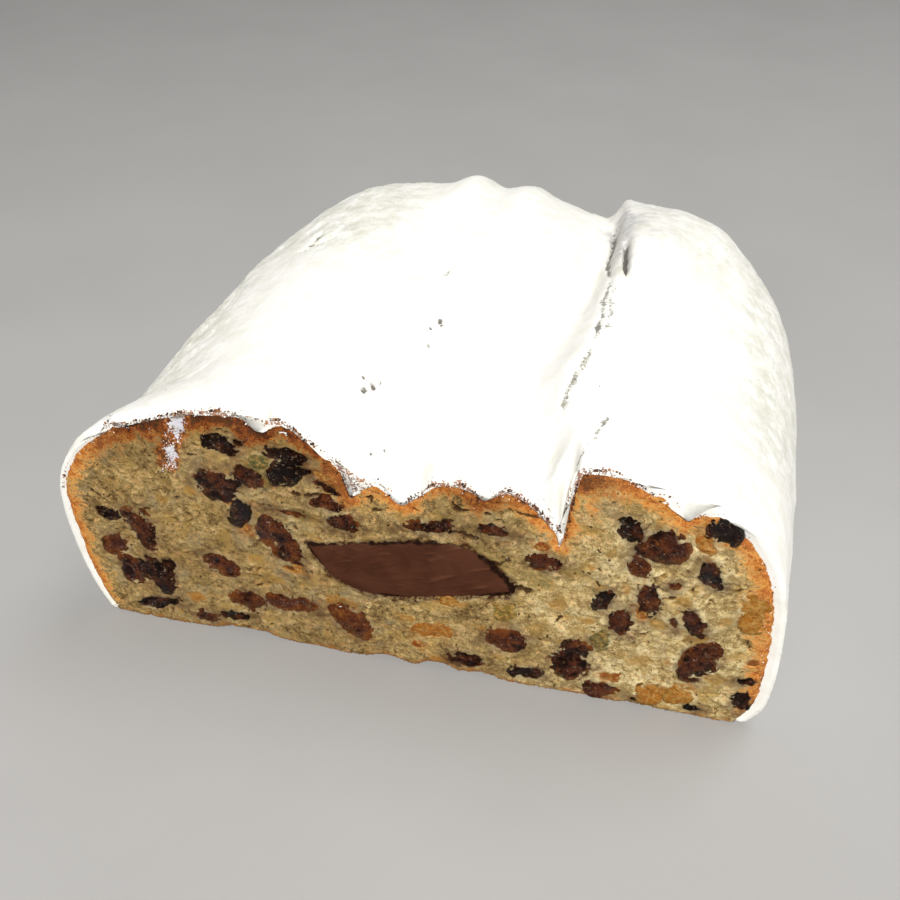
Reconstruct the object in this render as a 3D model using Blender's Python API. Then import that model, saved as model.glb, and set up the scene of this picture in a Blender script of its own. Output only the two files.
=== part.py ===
"""Half of a stollen: a fruit loaf cut across its middle, standing on its flat base.

Frame: metres, +Z up, floor at z = 0. The cut face looks along -Y, the loaf runs back
along +Y to its natural end, and +X is to the right when you look at the cut. The
origin is under the middle of the loaf's box.

Every length below is in millimetres and is turned into metres when a mesh is made.
"""
import bpy
import bmesh
import math
import numpy as np
from mathutils import Vector

MM = 0.001

# ---------------------------------------------------------------- driving sizes, mm
HALF_WIDTH = 65.3        # dough, half of the widest section
HEIGHT = 57.0            # dough, crown of the side lobes at the cut
LENGTH = 131.0           # dough, cut face to far end
BULGE_Z = 21.0           # height at which the loaf is widest
POWER_CUT, POWER_REAR = 2.95, 2.45   # superellipse power of the section, at the cut and further back
SKEW = 0.055             # the loaf's axis leans to +X as it runs back, mm per mm
PLAN_POWER, PLAN_ROOT = 7.0, 3.3     # blunt outline of the far end, seen from above
CROWN_POWER, CROWN_ROOT = 6.5, 2.5   # crown line as it comes down at the far end
CROWN_FALL = 3.0         # the crown sinks this much from the cut to the far end
SIDE_SWELL = 0.040       # the right flank swells by this part of the half width
BASE_TUCK = 0.045        # the flank tucks in under the bulge by this part of the width

SUGAR = 2.0              # icing sugar layer over the crown
SUGAR_SIDE = 1.2         # and over the flanks
FOOT_LINES = 5           # mesh lines between the floor and the bulge on each flank
SKIRT_LINES = 1          # the sugar stops this many lines above the floor
GAP = 0.35               # clearance between neighbouring solids

VALLEY_A, VALLEY_B = -9.0, 27.0      # x of the two folds at the cut
WANDER_A, WANDER_B = 7.0, -3.5       # how far each fold wanders sideways behind the cut
MIDDLE_DROP = 8.5        # the middle lobe lies this much lower at the cut
MIDDLE_REACH = 70.0      # the drop fades out over this length

CORE_CENTRE = (1.7, 27.4)            # nougat core, x and z of its middle at the cut
CORE_HALF_WIDTH = 18.9
CORE_HALF_HEIGHT = 7.4
CORE_LENGTH = 112.0

CENTRE_X, CENTRE_Y = 3.4, 66.3       # the loaf's box middle, measured from the cut

N_AROUND, N_ALONG = 48, 20           # mesh lines round the section and along the loaf

# Fruit that shows in the cut: x, z, long axis, short axis, tilt in degrees.
RAISINS = [
    (-30.4, 50.4, 5.8, 3.8, 0), (-19.5, 50.0, 6.6, 2.4, -12), (-19.7, 45.5, 5.2, 3.4, 30),
    (-33.4, 41.3, 7.2, 5.6, -40), (-27.0, 44.0, 5.0, 3.6, -18), (-29.4, 35.2, 5.8, 3.8, 70),
    (-12.8, 40.8, 5.4, 2.4, -3), (-10.4, 36.6, 5.2, 3.2, 12), (-50.4, 27.0, 9.4, 5.4, -78),
    (-57.0, 29.6, 4.0, 2.4, -10), (-57.2, 21.7, 5.2, 3.8, 40), (-55.6, 14.5, 6.8, 4.0, -80),
    (-49.2, 14.2, 8.8, 5.2, -78), (-36.0, 20.6, 6.4, 4.8, -8), (-21.9, 28.0, 12.4, 5.8, -66),
    (-52.0, 5.2, 9.5, 3.0, 16), (-31.6, 10.4, 6.6, 5.0, -28), (-22.5, 12.0, 9.6, 3.6, -6),
    (-35.4, 5.4, 6.4, 2.2, 10), (-41.9, 3.9, 4.2, 2.8, 0), (-10.9, 10.2, 9.8, 5.8, -62),
    (5.2, 38.9, 8.6, 2.2, 8), (25.3, 35.0, 5.2, 3.5, -4), (44.4, 43.0, 6.2, 5.4, -60),
    (37.8, 45.5, 4.6, 2.8, -56), (40.7, 37.4, 4.8, 3.0, -68), (51.4, 47.0, 5.4, 3.2, -38),
    (52.2, 37.8, 6.2, 3.2, -53), (43.4, 29.8, 7.2, 3.4, -76), (39.0, 23.8, 6.2, 3.4, -84),
    (51.2, 26.0, 7.0, 2.8, -64), (53.8, 15.4, 8.6, 5.8, 84), (31.6, 10.4, 8.2, 7.2, 50),
    (24.0, 4.2, 6.0, 3.6, 7), (19.2, 12.4, 7.0, 4.8, 11), (12.0, 5.2, 6.4, 3.6, 8),
    (38.4, 3.8, 5.8, 3.6, 6), (61.0, 6.7, 4.5, 2.6, -82), (16.6, 40.6, 4.6, 2.4, -3),
]
PEELS = [
    (-24.2, 47.9, 3.2, 2.4, 20), (36.5, 17.2, 4.8, 3.0, 87), (60.2, 30.6, 10.0, 3.6, -80),
    (5.3, 11.4, 6.4, 4.4, 12), (47.0, 4.9, 5.6, 4.2, 62), (18.6, 20.4, 4.6, 3.4, 55),
]
FRUIT_PROUD = 0.4        # fruit stands this far out of the cut face
FRUIT_SIDES = 8


# ---------------------------------------------------------------- helpers
def smooth(a, b, x):
    t = np.clip((x - a) / (b - a), 0.0, 1.0)
    return t * t * (3.0 - 2.0 * t)


def bell(x, centre, width):
    return np.exp(-((x - centre) / width) ** 2)


def fold_lines(y):
    """x of the two folds at distance y behind the cut."""
    return (VALLEY_A + WANDER_A * bell(y, 38.0, 20.0),
            VALLEY_B + WANDER_B * bell(y, 24.0, 11.0) + 1.4 * bell(y, 92.0, 18.0))


def crown_relief(x, y, sugar):
    """Height of the lobes and folds over the plain section, at the crown."""
    xa, xb = fold_lines(y)
    fade = np.exp(-(y / MIDDLE_REACH) ** 2)
    rear = smooth(15.0, 90.0, y)
    deep = smooth(30.0, 100.0, y)
    lobes = 1.8 * bell(x, -29.0, 13.0) + 1.0 * bell(x, 36.0, 9.0)
    lobes = lobes + 2.0 * bell(x, 51.0, 5.0) * np.exp(-(y / 25.0) ** 2)
    lobes = lobes + 3.4 * rear * bell(x, xb + 11.0, 13.0) + 2.6 * rear * bell(x, 2.0, 14.0)

    middle = smooth(xa - 8.0, xa, x) * (1.0 - smooth(xb - 0.8, xb + 1.6, x))
    crust = -MIDDLE_DROP * middle * fade - 5.5 * deep * bell(x, xb - 2.0, 4.2)
    crust = crust - 4.0 * bell(x, xa + 0.6, 3.0) - 4.5 * bell(x, xb - 1.6, 2.6)
    if not sugar:
        return lobes + crust
    middle = smooth(xa - 11.0, xa + 2.0, x) * (1.0 - smooth(xb - 6.0, xb + 2.0, x))
    cover = -6.5 * middle * fade - 1.6 * bell(x, xa, 4.0) * np.exp(-(y / 55.0) ** 2)
    cover = cover - (3.0 + 6.0 * deep) * bell(x, xb - 3.0 + 1.2 * deep, 3.4 + 0.8 * deep)
    return lobes + np.maximum(cover, crust - SUGAR + 1.4)


def section(t, sugar):
    """Fine line round one section, right foot to left foot; t runs 0 to 1 along the loaf."""
    skin, side = (SUGAR, SUGAR_SIDE) if sugar else (0.0, 0.0)
    y = t * (LENGTH + skin)
    end_w = (1.0 - t ** PLAN_POWER) ** (1.0 / PLAN_ROOT)
    end_h = (1.0 - t ** CROWN_POWER) ** (1.0 / CROWN_ROOT)
    axis_x = SKEW * y * (1.0 - 0.35 * t * t)
    bulge = BULGE_Z * (1.0 - 0.35 * (1.0 - end_h))
    top = HEIGHT - CROWN_FALL * t ** 1.3 + skin - BULGE_Z

    foot = np.linspace(1.0, 0.0, 41)[:-1]
    angle = np.linspace(0.0, math.pi, 721)
    c, s = np.cos(angle), np.sin(angle)
    reach = np.where(c > 0.0, 45.0, 18.0)             # the left shoulder softens sooner
    power = POWER_CUT + (POWER_REAR - POWER_CUT) * smooth(0.0, reach, y)
    x = (HALF_WIDTH + side) * np.sign(c) * np.abs(c) ** (2.0 / power)
    z = bulge + top * end_h * np.abs(s) ** (2.0 / power)
    foot_x = (HALF_WIDTH + side) * (1.0 - BASE_TUCK * foot ** 2)
    x = np.concatenate([foot_x, x, -foot_x[::-1]])
    z = np.concatenate([bulge * (1.0 - foot), z, bulge * (1.0 - foot[::-1])])
    tuck = np.concatenate([foot, np.zeros_like(angle), foot[::-1]])
    x = x * np.where(x > 0.0, end_w * (1.0 + SIDE_SWELL * math.sin(math.pi * t)), end_w)
    x = x + axis_x
    z = z + smooth(bulge + 4.0, bulge + 20.0, z) * end_h * crown_relief(x, y, sugar)
    return np.stack([x, y - 5.0 * tuck ** 2 * t ** 3, z], -1), y, bulge


def stations(t, count):
    """Where the mesh lines cross the section at t, closer together in the folds."""
    line, y, bulge = section(t, sugar=False)
    x, z = line[:, 0], line[:, 2]
    xa, xb = fold_lines(y)
    step = np.hypot(np.diff(x), np.diff(z)) + 1e-9
    mid_x, mid_z = 0.5 * (x[1:] + x[:-1]), 0.5 * (z[1:] + z[:-1])
    extra = 1.1 * bell(mid_x, xa, 6.0) + 1.8 * bell(mid_x, xb, 6.0)
    run = np.concatenate([[0.0], np.cumsum(step * (1.0 + np.where(mid_z > bulge + 8.0, extra, 0.0)))])
    # even steps up each foot, which is 40 steps of the fine line, then the crown by arc length
    foot = np.linspace(0.0, 40.0, FOOT_LINES + 1)[:-1]
    crown = np.interp(np.linspace(run[40], run[-41], count - 2 * FOOT_LINES), run, np.arange(len(run)))
    return np.concatenate([foot, crown, len(run) - 1.0 - foot[::-1]])


def surface(sugar):
    """Grid of points: N_AROUND round the section by N_ALONG from the cut to the far end."""
    rows = []
    for j in range(N_ALONG):
        t = math.sin(0.5 * math.pi * j / (N_ALONG - 1)) ** 0.9
        line = section(t, sugar)[0]
        at, index = stations(t, N_AROUND), np.arange(len(line))
        rows.append(np.stack([np.interp(at, index, line[:, k]) for k in range(3)], -1))
    return np.stack(rows, 1)


def grid_triangles(nu, nv, start=0, flip=False):
    """Two triangles to each cell of a grid, always split along the same diagonal."""
    faces = []
    for i in range(nu - 1):
        for j in range(nv - 1):
            a = start + i * nv + j
            b = start + (i + 1) * nv + j
            for tri in ((a, b, b + 1), (a, b + 1, a + 1)):
                faces.append(tri[::-1] if flip else tri)
    return faces


def offset(grid, distance):
    """The grid moved outwards so that each of its facets moves by the distance."""
    nu, nv = grid.shape[:2]
    points = grid.reshape(-1, 3)
    tris = np.array(grid_triangles(nu, nv))
    normal = np.cross(points[tris[:, 1]] - points[tris[:, 0]], points[tris[:, 2]] - points[tris[:, 0]])
    area = np.linalg.norm(normal, axis=1)
    tris, normal, area = tris[area > 1e-3], normal[area > 1e-3], area[area > 1e-3]
    unit = normal / area[:, None]
    middle = np.array([SKEW * 60.0, 60.0, 10.0])
    if np.sum(unit * (points[tris[:, 0]] - middle)) < 0.0:
        unit, normal = -unit, -normal
    total = np.zeros_like(points)
    for k in range(3):
        np.add.at(total, tris[:, k], normal)
    total = total.reshape(nu, nv, 3)
    total[:, 0, 1] = 0.0
    total = total.reshape(-1, 3)
    total /= np.maximum(np.linalg.norm(total, axis=1, keepdims=True), 1e-9)
    lean = np.ones(len(points))
    for k in range(3):
        np.minimum.at(lean, tris[:, k], np.sum(total[tris[:, k]] * unit, axis=1))
    reach = distance / np.clip(lean, 0.3, 1.0)
    return (points + total * reach[:, None]).reshape(nu, nv, 3)


def to_metres(points):
    p = np.array(points, dtype=float)
    p[..., 0] -= CENTRE_X
    p[..., 1] -= CENTRE_Y
    return p * MM


def face_outwards(bm):
    """Make the faces agree, then turn them out: a closed body has a positive volume."""
    bmesh.ops.recalc_face_normals(bm, faces=bm.faces)
    if bm.calc_volume(signed=True) < 0.0:
        bmesh.ops.reverse_faces(bm, faces=bm.faces)


def new_object(name, verts, faces, collection):
    mesh = bpy.data.meshes.new(name)
    mesh.from_pydata([tuple(v) for v in verts], [], faces)
    bm = bmesh.new()
    bm.from_mesh(mesh)
    bmesh.ops.remove_doubles(bm, verts=bm.verts, dist=0.00001)
    bmesh.ops.dissolve_degenerate(bm, edges=bm.edges, dist=0.000001)
    face_outwards(bm)
    bm.to_mesh(mesh)
    bm.free()
    obj = bpy.data.objects.new(name, mesh)
    collection.objects.link(obj)
    return obj


def material(name, color, roughness, subsurface=0.0):
    mat = bpy.data.materials.new(name)
    mat.use_nodes = True
    shader = mat.node_tree.nodes["Principled BSDF"]
    shader.inputs["Base Color"].default_value = (*color, 1.0)
    shader.inputs["Roughness"].default_value = roughness
    shader.inputs["Metallic"].default_value = 0.0
    shader.inputs["Subsurface Weight"].default_value = subsurface
    mat.diffuse_color = (*color, 1.0)
    return mat


# ---------------------------------------------------------------- a clean scene
for old in list(bpy.data.objects):
    bpy.data.objects.remove(old, do_unlink=True)

parts = bpy.data.collections.new("stollen_half")
cutters = bpy.data.collections.new("stollen_cutters")
bpy.context.scene.collection.children.link(parts)
bpy.context.scene.collection.children.link(cutters)

mat_dough = material("dough", (0.60, 0.44, 0.22), 0.85)
mat_sugar = material("sugar", (0.95, 0.95, 0.94), 0.9)
mat_core = material("nougat", (0.085, 0.03, 0.018), 0.45)
mat_raisin = material("raisin", (0.05, 0.018, 0.01), 0.35)
mat_peel = material("peel", (0.55, 0.25, 0.05), 0.35)


# ---------------------------------------------------------------- dough
crust = surface(sugar=False)
nu, nv = crust.shape[:2]
faces = grid_triangles(nu, nv)
faces.append(tuple(i * nv for i in range(nu)))                                # the cut face
faces.append(tuple(range(nv)) + tuple((nu - 1) * nv + j for j in reversed(range(nv))))  # the flat base
dough = new_object("dough", to_metres(crust).reshape(-1, 3), faces, parts)
dough.data.materials.append(mat_dough)


# ---------------------------------------------------------------- nougat core
def core_outline(count, grow=0.0):
    """Slanted lens: blunt on the left, coming to a low point on the right."""
    ring = []
    for k in range(count):
        a = 2.0 * math.pi * k / count
        u = math.cos(a)
        half = CORE_HALF_HEIGHT * (1.0 - abs(u) ** 2.4) ** 0.7
        line = 1.8 * math.sin(2.6 * u) + (3.5 * u ** 6 if u < 0.0 else -2.0 * u ** 4)
        side = 1.0 if math.sin(a) > 0.0 else -1.0
        x = CORE_CENTRE[0] + CORE_HALF_WIDTH * u
        z = CORE_CENTRE[1] + line + (side * half if abs(math.sin(a)) > 1e-6 else 0.0)
        ring.append((x, z))
    if grow:
        moved = []
        for k in range(count):
            (x0, z0), (x1, z1) = ring[k - 1], ring[(k + 1) % count]
            dx, dz = x1 - x0, z1 - z0
            size = math.hypot(dx, dz)
            moved.append((ring[k][0] + grow * dz / size, ring[k][1] - grow * dx / size))
        ring = moved
    return ring


def core_mesh(name, grow, front, back, collection):
    count = 28
    ring = core_outline(count, grow)
    levels = [front, 0.35 * back, 0.7 * back, 0.9 * back, 0.975 * back, back]
    scales = [1.0, 1.0, 1.0, 0.93, 0.72, 0.4]
    cx, cz = CORE_CENTRE
    verts, faces = [], []
    for y, k in zip(levels, scales):
        drift = SKEW * max(y, 0.0)
        for x, z in ring:
            verts.append((cx + (x - cx) * k + drift, y, cz + (z - cz) * k))
    n = len(levels)
    for s in range(n - 1):
        for k in range(count):
            a, b = s * count + k, s * count + (k + 1) % count
            faces.append((a, b, b + count, a + count))
    faces.append(tuple(reversed(range(count))))
    faces.append(tuple((n - 1) * count + k for k in range(count)))
    return new_object(name, to_metres(verts), faces, collection)


core = core_mesh("nougat_core", 0.0, -0.1, CORE_LENGTH, parts)
core.data.materials.append(mat_core)
core_mesh("cut_core", GAP, -6.0, CORE_LENGTH + 0.5, cutters)


# ---------------------------------------------------------------- fruit in the cut
def fruit(name, place, grow, proud, collection, mat=None):
    """A squashed, slightly lumpy ball lying in the cut, sliced flat just outside it."""
    x, z, long_axis, short_axis, tilt = place
    depth = 0.5 * short_axis + 1.0
    bm = bmesh.new()
    bmesh.ops.create_uvsphere(bm, u_segments=FRUIT_SIDES, v_segments=4, radius=1.0)
    ca, sa = math.cos(math.radians(tilt)), math.sin(math.radians(tilt))
    seed = 3.1 * x + 1.7 * z
    for v in bm.verts:
        # the ball's poles lie along Y, into the loaf
        u, w, d = v.co.x, v.co.y, v.co.z
        lump = 1.0 + 0.07 * math.sin(3.0 * math.atan2(w, u) + seed)
        px = (0.5 * long_axis * lump + grow) * u
        pz = (0.5 * short_axis * lump + grow) * w
        py = (depth + grow) * d
        v.co = Vector((x + ca * px - sa * pz, py - FRUIT_PROUD, z + sa * px + ca * pz))
    if proud is not None:
        geom = bm.verts[:] + bm.edges[:] + bm.faces[:]
        bmesh.ops.bisect_plane(bm, geom=geom, dist=1e-6, plane_co=(0.0, -proud + 0.001, 0.0),
                               plane_no=(0.0, -1.0, 0.0), clear_outer=True)
        rim = [e for e in bm.edges if e.is_boundary]
        bmesh.ops.contextual_create(bm, geom=rim)
    for v in bm.verts:
        v.co = Vector(((v.co.x - CENTRE_X) * MM, (v.co.y - CENTRE_Y) * MM, v.co.z * MM))
    face_outwards(bm)
    mesh = bpy.data.meshes.new(name)
    bm.to_mesh(mesh)
    bm.free()
    obj = bpy.data.objects.new(name, mesh)
    collection.objects.link(obj)
    if mat:
        obj.data.materials.append(mat)
    return obj


for kind, places, mat in (("raisin", RAISINS, mat_raisin), ("peel", PEELS, mat_peel)):
    for k, place in enumerate(places):
        name = "%s_%02d" % (kind, k + 1)
        fruit(name, place, 0.0, FRUIT_PROUD, parts, mat)
        fruit("cut_" + name, place, GAP, None, cutters)

pockets = dough.modifiers.new("pockets", "BOOLEAN")
pockets.operation = "DIFFERENCE"
pockets.solver = "EXACT"
pockets.operand_type = "COLLECTION"
pockets.collection = cutters


# ---------------------------------------------------------------- icing sugar
# A shell between the sugar's own surface and the crust, thicker where it fills the folds.
outer = surface(sugar=True)
inner = offset(crust, GAP)
inner[:, 0, 1] = 0.0
inner[:, -1] = crust[:, -1] + np.array([0.0, GAP, 0.0])
outer, inner = outer[SKIRT_LINES:nu - SKIRT_LINES], inner[SKIRT_LINES:nu - SKIRT_LINES]
mu = outer.shape[0]
verts = np.concatenate([outer.reshape(-1, 3), inner.reshape(-1, 3)])
half = mu * nv
faces = grid_triangles(mu, nv) + grid_triangles(mu, nv, start=half, flip=True)
for i in range(mu - 1):                                   # the cut rim
    a, b = i * nv, (i + 1) * nv
    faces.append((a, a + half, b + half, b))
for j in range(nv - 1):                                   # the two feet
    a = j
    faces.append((a, a + 1, a + 1 + half, a + half))
    a = (mu - 1) * nv + j
    faces.append((a, a + half, a + 1 + half, a + 1))
sugar = new_object("icing_sugar", to_metres(verts), faces, parts)
sugar.data.materials.append(mat_sugar)

for obj in cutters.objects:
    obj.hide_render = True
    obj.display_type = "WIRE"
for obj in parts.objects:
    obj.data.shade_smooth()
    obj.data.set_sharp_from_angle(angle=math.radians(40.0))
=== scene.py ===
"""Half of a stollen: crumb, crust, icing sugar, nougat core and fruit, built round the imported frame."""
import math
import bpy
import bmesh
import numpy as np
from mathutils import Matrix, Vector

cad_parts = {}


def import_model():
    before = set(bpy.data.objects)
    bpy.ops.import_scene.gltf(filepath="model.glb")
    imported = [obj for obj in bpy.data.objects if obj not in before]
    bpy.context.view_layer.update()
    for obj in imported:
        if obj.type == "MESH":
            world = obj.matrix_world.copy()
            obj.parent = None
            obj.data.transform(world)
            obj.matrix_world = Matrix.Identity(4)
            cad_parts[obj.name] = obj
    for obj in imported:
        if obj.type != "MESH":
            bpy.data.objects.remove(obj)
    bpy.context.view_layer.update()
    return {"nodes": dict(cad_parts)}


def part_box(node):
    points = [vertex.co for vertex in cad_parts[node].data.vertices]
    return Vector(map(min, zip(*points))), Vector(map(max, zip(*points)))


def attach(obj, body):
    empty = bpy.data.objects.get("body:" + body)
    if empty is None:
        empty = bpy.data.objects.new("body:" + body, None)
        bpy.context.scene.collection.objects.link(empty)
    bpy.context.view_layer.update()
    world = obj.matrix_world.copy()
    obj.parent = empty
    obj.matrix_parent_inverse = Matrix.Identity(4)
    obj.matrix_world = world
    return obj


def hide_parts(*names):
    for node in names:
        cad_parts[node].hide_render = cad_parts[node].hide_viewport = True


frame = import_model()
NODES = frame["nodes"]
MM = 0.001

# ================================================================ the loaf's form, mm, cut face on y = 0
HALF_WIDTH, HEIGHT, LENGTH, BULGE_Z = 65.3, 57.0, 131.0, 21.0
POWER_CUT, POWER_REAR = 2.95, 2.45
SKEW = 0.055
PLAN_POWER, PLAN_ROOT = 7.0, 3.3
CROWN_POWER, CROWN_ROOT = 6.5, 2.5
CROWN_FALL, SIDE_SWELL, BASE_TUCK = 3.0, 0.040, 0.045
SUGAR, SUGAR_SIDE = 2.0, 1.2
VALLEY_A, VALLEY_B = -9.0, 27.0
WANDER_A, WANDER_B = 7.0, -3.5
MIDDLE_DROP, MIDDLE_REACH = 8.5, 70.0
CORE_CENTRE, CORE_HALF_WIDTH, CORE_HALF_HEIGHT, CORE_LENGTH = (1.7, 27.4), 18.9, 7.4, 112.0


def smooth(a, b, x):
    t = np.clip((x - a) / (b - a), 0.0, 1.0)
    return t * t * (3.0 - 2.0 * t)


def bell(x, centre, width):
    return np.exp(-((x - centre) / width) ** 2)


def fold_lines(y):
    return (VALLEY_A + WANDER_A * bell(y, 38.0, 20.0),
            VALLEY_B + WANDER_B * bell(y, 24.0, 11.0) + 1.4 * bell(y, 92.0, 18.0))


def crown_relief(x, y, sugar):
    xa, xb = fold_lines(y)
    fade = np.exp(-(y / MIDDLE_REACH) ** 2)
    rear = smooth(15.0, 90.0, y)
    deep = smooth(30.0, 100.0, y)
    lobes = 1.8 * bell(x, -29.0, 13.0) + 1.0 * bell(x, 36.0, 9.0)
    lobes = lobes + 2.0 * bell(x, 51.0, 5.0) * np.exp(-(y / 25.0) ** 2)
    lobes = lobes + 3.4 * rear * bell(x, xb + 11.0, 13.0) + 2.6 * rear * bell(x, 2.0, 14.0)
    middle = smooth(xa - 8.0, xa, x) * (1.0 - smooth(xb - 0.8, xb + 1.6, x))
    crust = -MIDDLE_DROP * middle * fade - 5.5 * deep * bell(x, xb - 2.0, 4.2)
    crust = crust - 4.0 * bell(x, xa + 0.6, 3.0) - 4.5 * bell(x, xb - 1.6, 2.6)
    if not sugar:
        return lobes + crust
    middle = smooth(xa - 11.0, xa + 2.0, x) * (1.0 - smooth(xb - 6.0, xb + 2.0, x))
    cover = -6.5 * middle * fade - 1.6 * bell(x, xa, 4.0) * np.exp(-(y / 55.0) ** 2)
    cover = cover - (3.0 + 6.0 * deep) * bell(x, xb - 3.0 + 1.2 * deep, 3.4 + 0.8 * deep)
    return lobes + np.maximum(cover, crust - SUGAR + 1.4)


def section(t, sugar, n_crown=1441, n_foot=81):
    """Fine line round one section, right foot to left foot; t runs 0 to 1 along the loaf."""
    skin, side = (SUGAR, SUGAR_SIDE) if sugar else (0.0, 0.0)
    y = t * (LENGTH + skin)
    end_w = (1.0 - t ** PLAN_POWER) ** (1.0 / PLAN_ROOT)
    end_h = (1.0 - t ** CROWN_POWER) ** (1.0 / CROWN_ROOT)
    axis_x = SKEW * y * (1.0 - 0.35 * t * t)
    bulge = BULGE_Z * (1.0 - 0.35 * (1.0 - end_h))
    top = HEIGHT - CROWN_FALL * t ** 1.3 + skin - BULGE_Z
    foot = np.linspace(1.0, 0.0, n_foot)[:-1]
    angle = np.linspace(0.0, math.pi, n_crown)
    c, s = np.cos(angle), np.sin(angle)
    reach = np.where(c > 0.0, 45.0, 18.0)
    power = POWER_CUT + (POWER_REAR - POWER_CUT) * smooth(0.0, reach, y)
    x = (HALF_WIDTH + side) * np.sign(c) * np.abs(c) ** (2.0 / power)
    z = bulge + top * end_h * np.abs(s) ** (2.0 / power)
    foot_x = (HALF_WIDTH + side) * (1.0 - BASE_TUCK * foot ** 2)
    x = np.concatenate([foot_x, x, -foot_x[::-1]])
    z = np.concatenate([bulge * (1.0 - foot), z, bulge * (1.0 - foot[::-1])])
    tuck = np.concatenate([foot, np.zeros_like(angle), foot[::-1]])
    x = x * np.where(x > 0.0, end_w * (1.0 + SIDE_SWELL * math.sin(math.pi * t)), end_w)
    x = x + axis_x
    z = z + smooth(bulge + 4.0, bulge + 20.0, z) * end_h * crown_relief(x, y, sugar)
    return np.stack([x, y - 5.0 * tuck ** 2 * t ** 3, z], -1)


# where the design frame sits in the row's frame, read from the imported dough
_lo, _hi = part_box("dough")
FACE_Y = _lo.y / MM                                   # row-frame y of the cut, mm
_min_x = min(section(t, False)[:, 0].min() for t in np.linspace(0.0, 0.5, 40))
SHIFT_X = _lo.x / MM - _min_x
SHIFT = np.array([SHIFT_X, FACE_Y, _lo.z / MM])


def world(points):
    return (np.asarray(points, float) + SHIFT) * MM


# ================================================================ noise
_rng = np.random.default_rng(11)
_perm = np.concatenate([_rng.permutation(256)] * 3).astype(np.int64)
_grad = _rng.normal(size=(256, 3)); _grad /= np.linalg.norm(_grad, axis=1, keepdims=True)
_jit = _rng.random((256, 3))


def _lattice(i, j, k):
    return _perm[_perm[_perm[i & 255] + (j & 255)] + (k & 255)]


def noise(p, scale, seed=0.0):
    """Gradient noise, about -1..1; scale is the size of a feature in the points' units."""
    q = np.asarray(p, float) / scale + seed * 17.31 + 100.0
    i = np.floor(q).astype(np.int64)
    f = q - i
    u = f * f * f * (f * (f * 6.0 - 15.0) + 10.0)
    out = 0.0
    for a in (0, 1):
        wa = u[..., 0] if a else 1.0 - u[..., 0]
        for b in (0, 1):
            wb = u[..., 1] if b else 1.0 - u[..., 1]
            for c in (0, 1):
                wc = u[..., 2] if c else 1.0 - u[..., 2]
                g = _grad[_lattice(i[..., 0] + a, i[..., 1] + b, i[..., 2] + c)]
                d = g[..., 0] * (f[..., 0] - a) + g[..., 1] * (f[..., 1] - b) + g[..., 2] * (f[..., 2] - c)
                out = out + wa * wb * wc * d
    return out * 1.6


def fbm(p, scale, octaves=3, seed=0.0, gain=0.5):
    total, amp, norm = 0.0, 1.0, 0.0
    for o in range(octaves):
        total = total + amp * noise(p, scale / 2.0 ** o, seed + 3.7 * o)
        norm += amp
        amp *= gain
    return total / norm


def cells(p, scale, seed=0.0):
    """Distances to the nearest and second nearest scattered point, in cell sizes."""
    q = np.asarray(p, float) / scale + seed * 9.17 + 50.0
    i = np.floor(q).astype(np.int64)
    f1 = np.full(q.shape[:-1], 9.0); f2 = f1.copy()
    for a in (-1, 0, 1):
        for b in (-1, 0, 1):
            for c in (-1, 0, 1):
                cell = i + np.array([a, b, c])
                j = _jit[_lattice(cell[..., 0], cell[..., 1], cell[..., 2])]
                d = np.sqrt((((cell + j) - q) ** 2).sum(-1))
                near = np.minimum(f1, d)
                f2 = np.minimum(f2, np.maximum(f1, d))
                f1 = near
    return f1, f2


def flat(x, z, y=0.0):
    """Points of the cut plane for the noise functions."""
    return np.stack([x, np.full_like(x, y), z], -1)


# ================================================================ mesh helpers
def make_mesh(name, verts, faces, mat=None, smooth_shade=True):
    mesh = bpy.data.meshes.new(name)
    v = np.asarray(verts, np.float32)
    f = np.asarray(faces, np.int64)
    mesh.vertices.add(len(v))
    mesh.vertices.foreach_set("co", v.ravel())
    n = f.shape[1]
    mesh.loops.add(f.size)
    mesh.loops.foreach_set("vertex_index", f.ravel().astype(np.int32))
    mesh.polygons.add(len(f))
    mesh.polygons.foreach_set("loop_start", np.arange(0, f.size, n, dtype=np.int32))
    mesh.polygons.foreach_set("loop_total", np.full(len(f), n, np.int32))
    mesh.update(calc_edges=True)
    mesh.validate()
    if smooth_shade:
        mesh.shade_smooth()
    obj = bpy.data.objects.new(name, mesh)
    bpy.context.scene.collection.objects.link(obj)
    if mat:
        mesh.materials.append(mat)
    return obj


def add_value(obj, name, values):
    a = obj.data.attributes.new(name, "FLOAT", "POINT")
    a.data.foreach_set("value", np.asarray(values, np.float32).ravel())


def grid_quads(nu, nv, start=0, flip=False):
    i, j = np.meshgrid(np.arange(nu - 1), np.arange(nv - 1), indexing="ij")
    a = start + i * nv + j
    q = np.stack([a, a + nv, a + nv + 1, a + 1], -1).reshape(-1, 4)
    return q[:, ::-1] if flip else q


def inside(poly, x, z):
    """Even-odd test of points against a closed polygon."""
    res = np.zeros(x.shape, bool)
    px, pz = poly[:, 0], poly[:, 1]
    qx, qz = np.roll(px, -1), np.roll(pz, -1)
    for k in range(len(poly)):
        if pz[k] == qz[k]:
            continue
        cond = ((pz[k] > z) != (qz[k] > z)) & (x < (qx[k] - px[k]) * (z - pz[k]) / (qz[k] - pz[k]) + px[k])
        res ^= cond
    return res


def to_line(line, x, z, closed=False):
    """Distance of points to a polyline, and the index of its nearest vertex."""
    pts = np.stack([x.ravel(), z.ravel()], -1)
    best = np.full(len(pts), 1e9); idx = np.zeros(len(pts), int)
    for s in range(0, len(pts), 20000):
        d = ((pts[s:s + 20000, None, :] - line[None]) ** 2).sum(-1)
        k = d.argmin(1)
        best[s:s + 20000] = np.sqrt(d[np.arange(len(k)), k]); idx[s:s + 20000] = k
    return best.reshape(x.shape), idx.reshape(x.shape)


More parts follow.
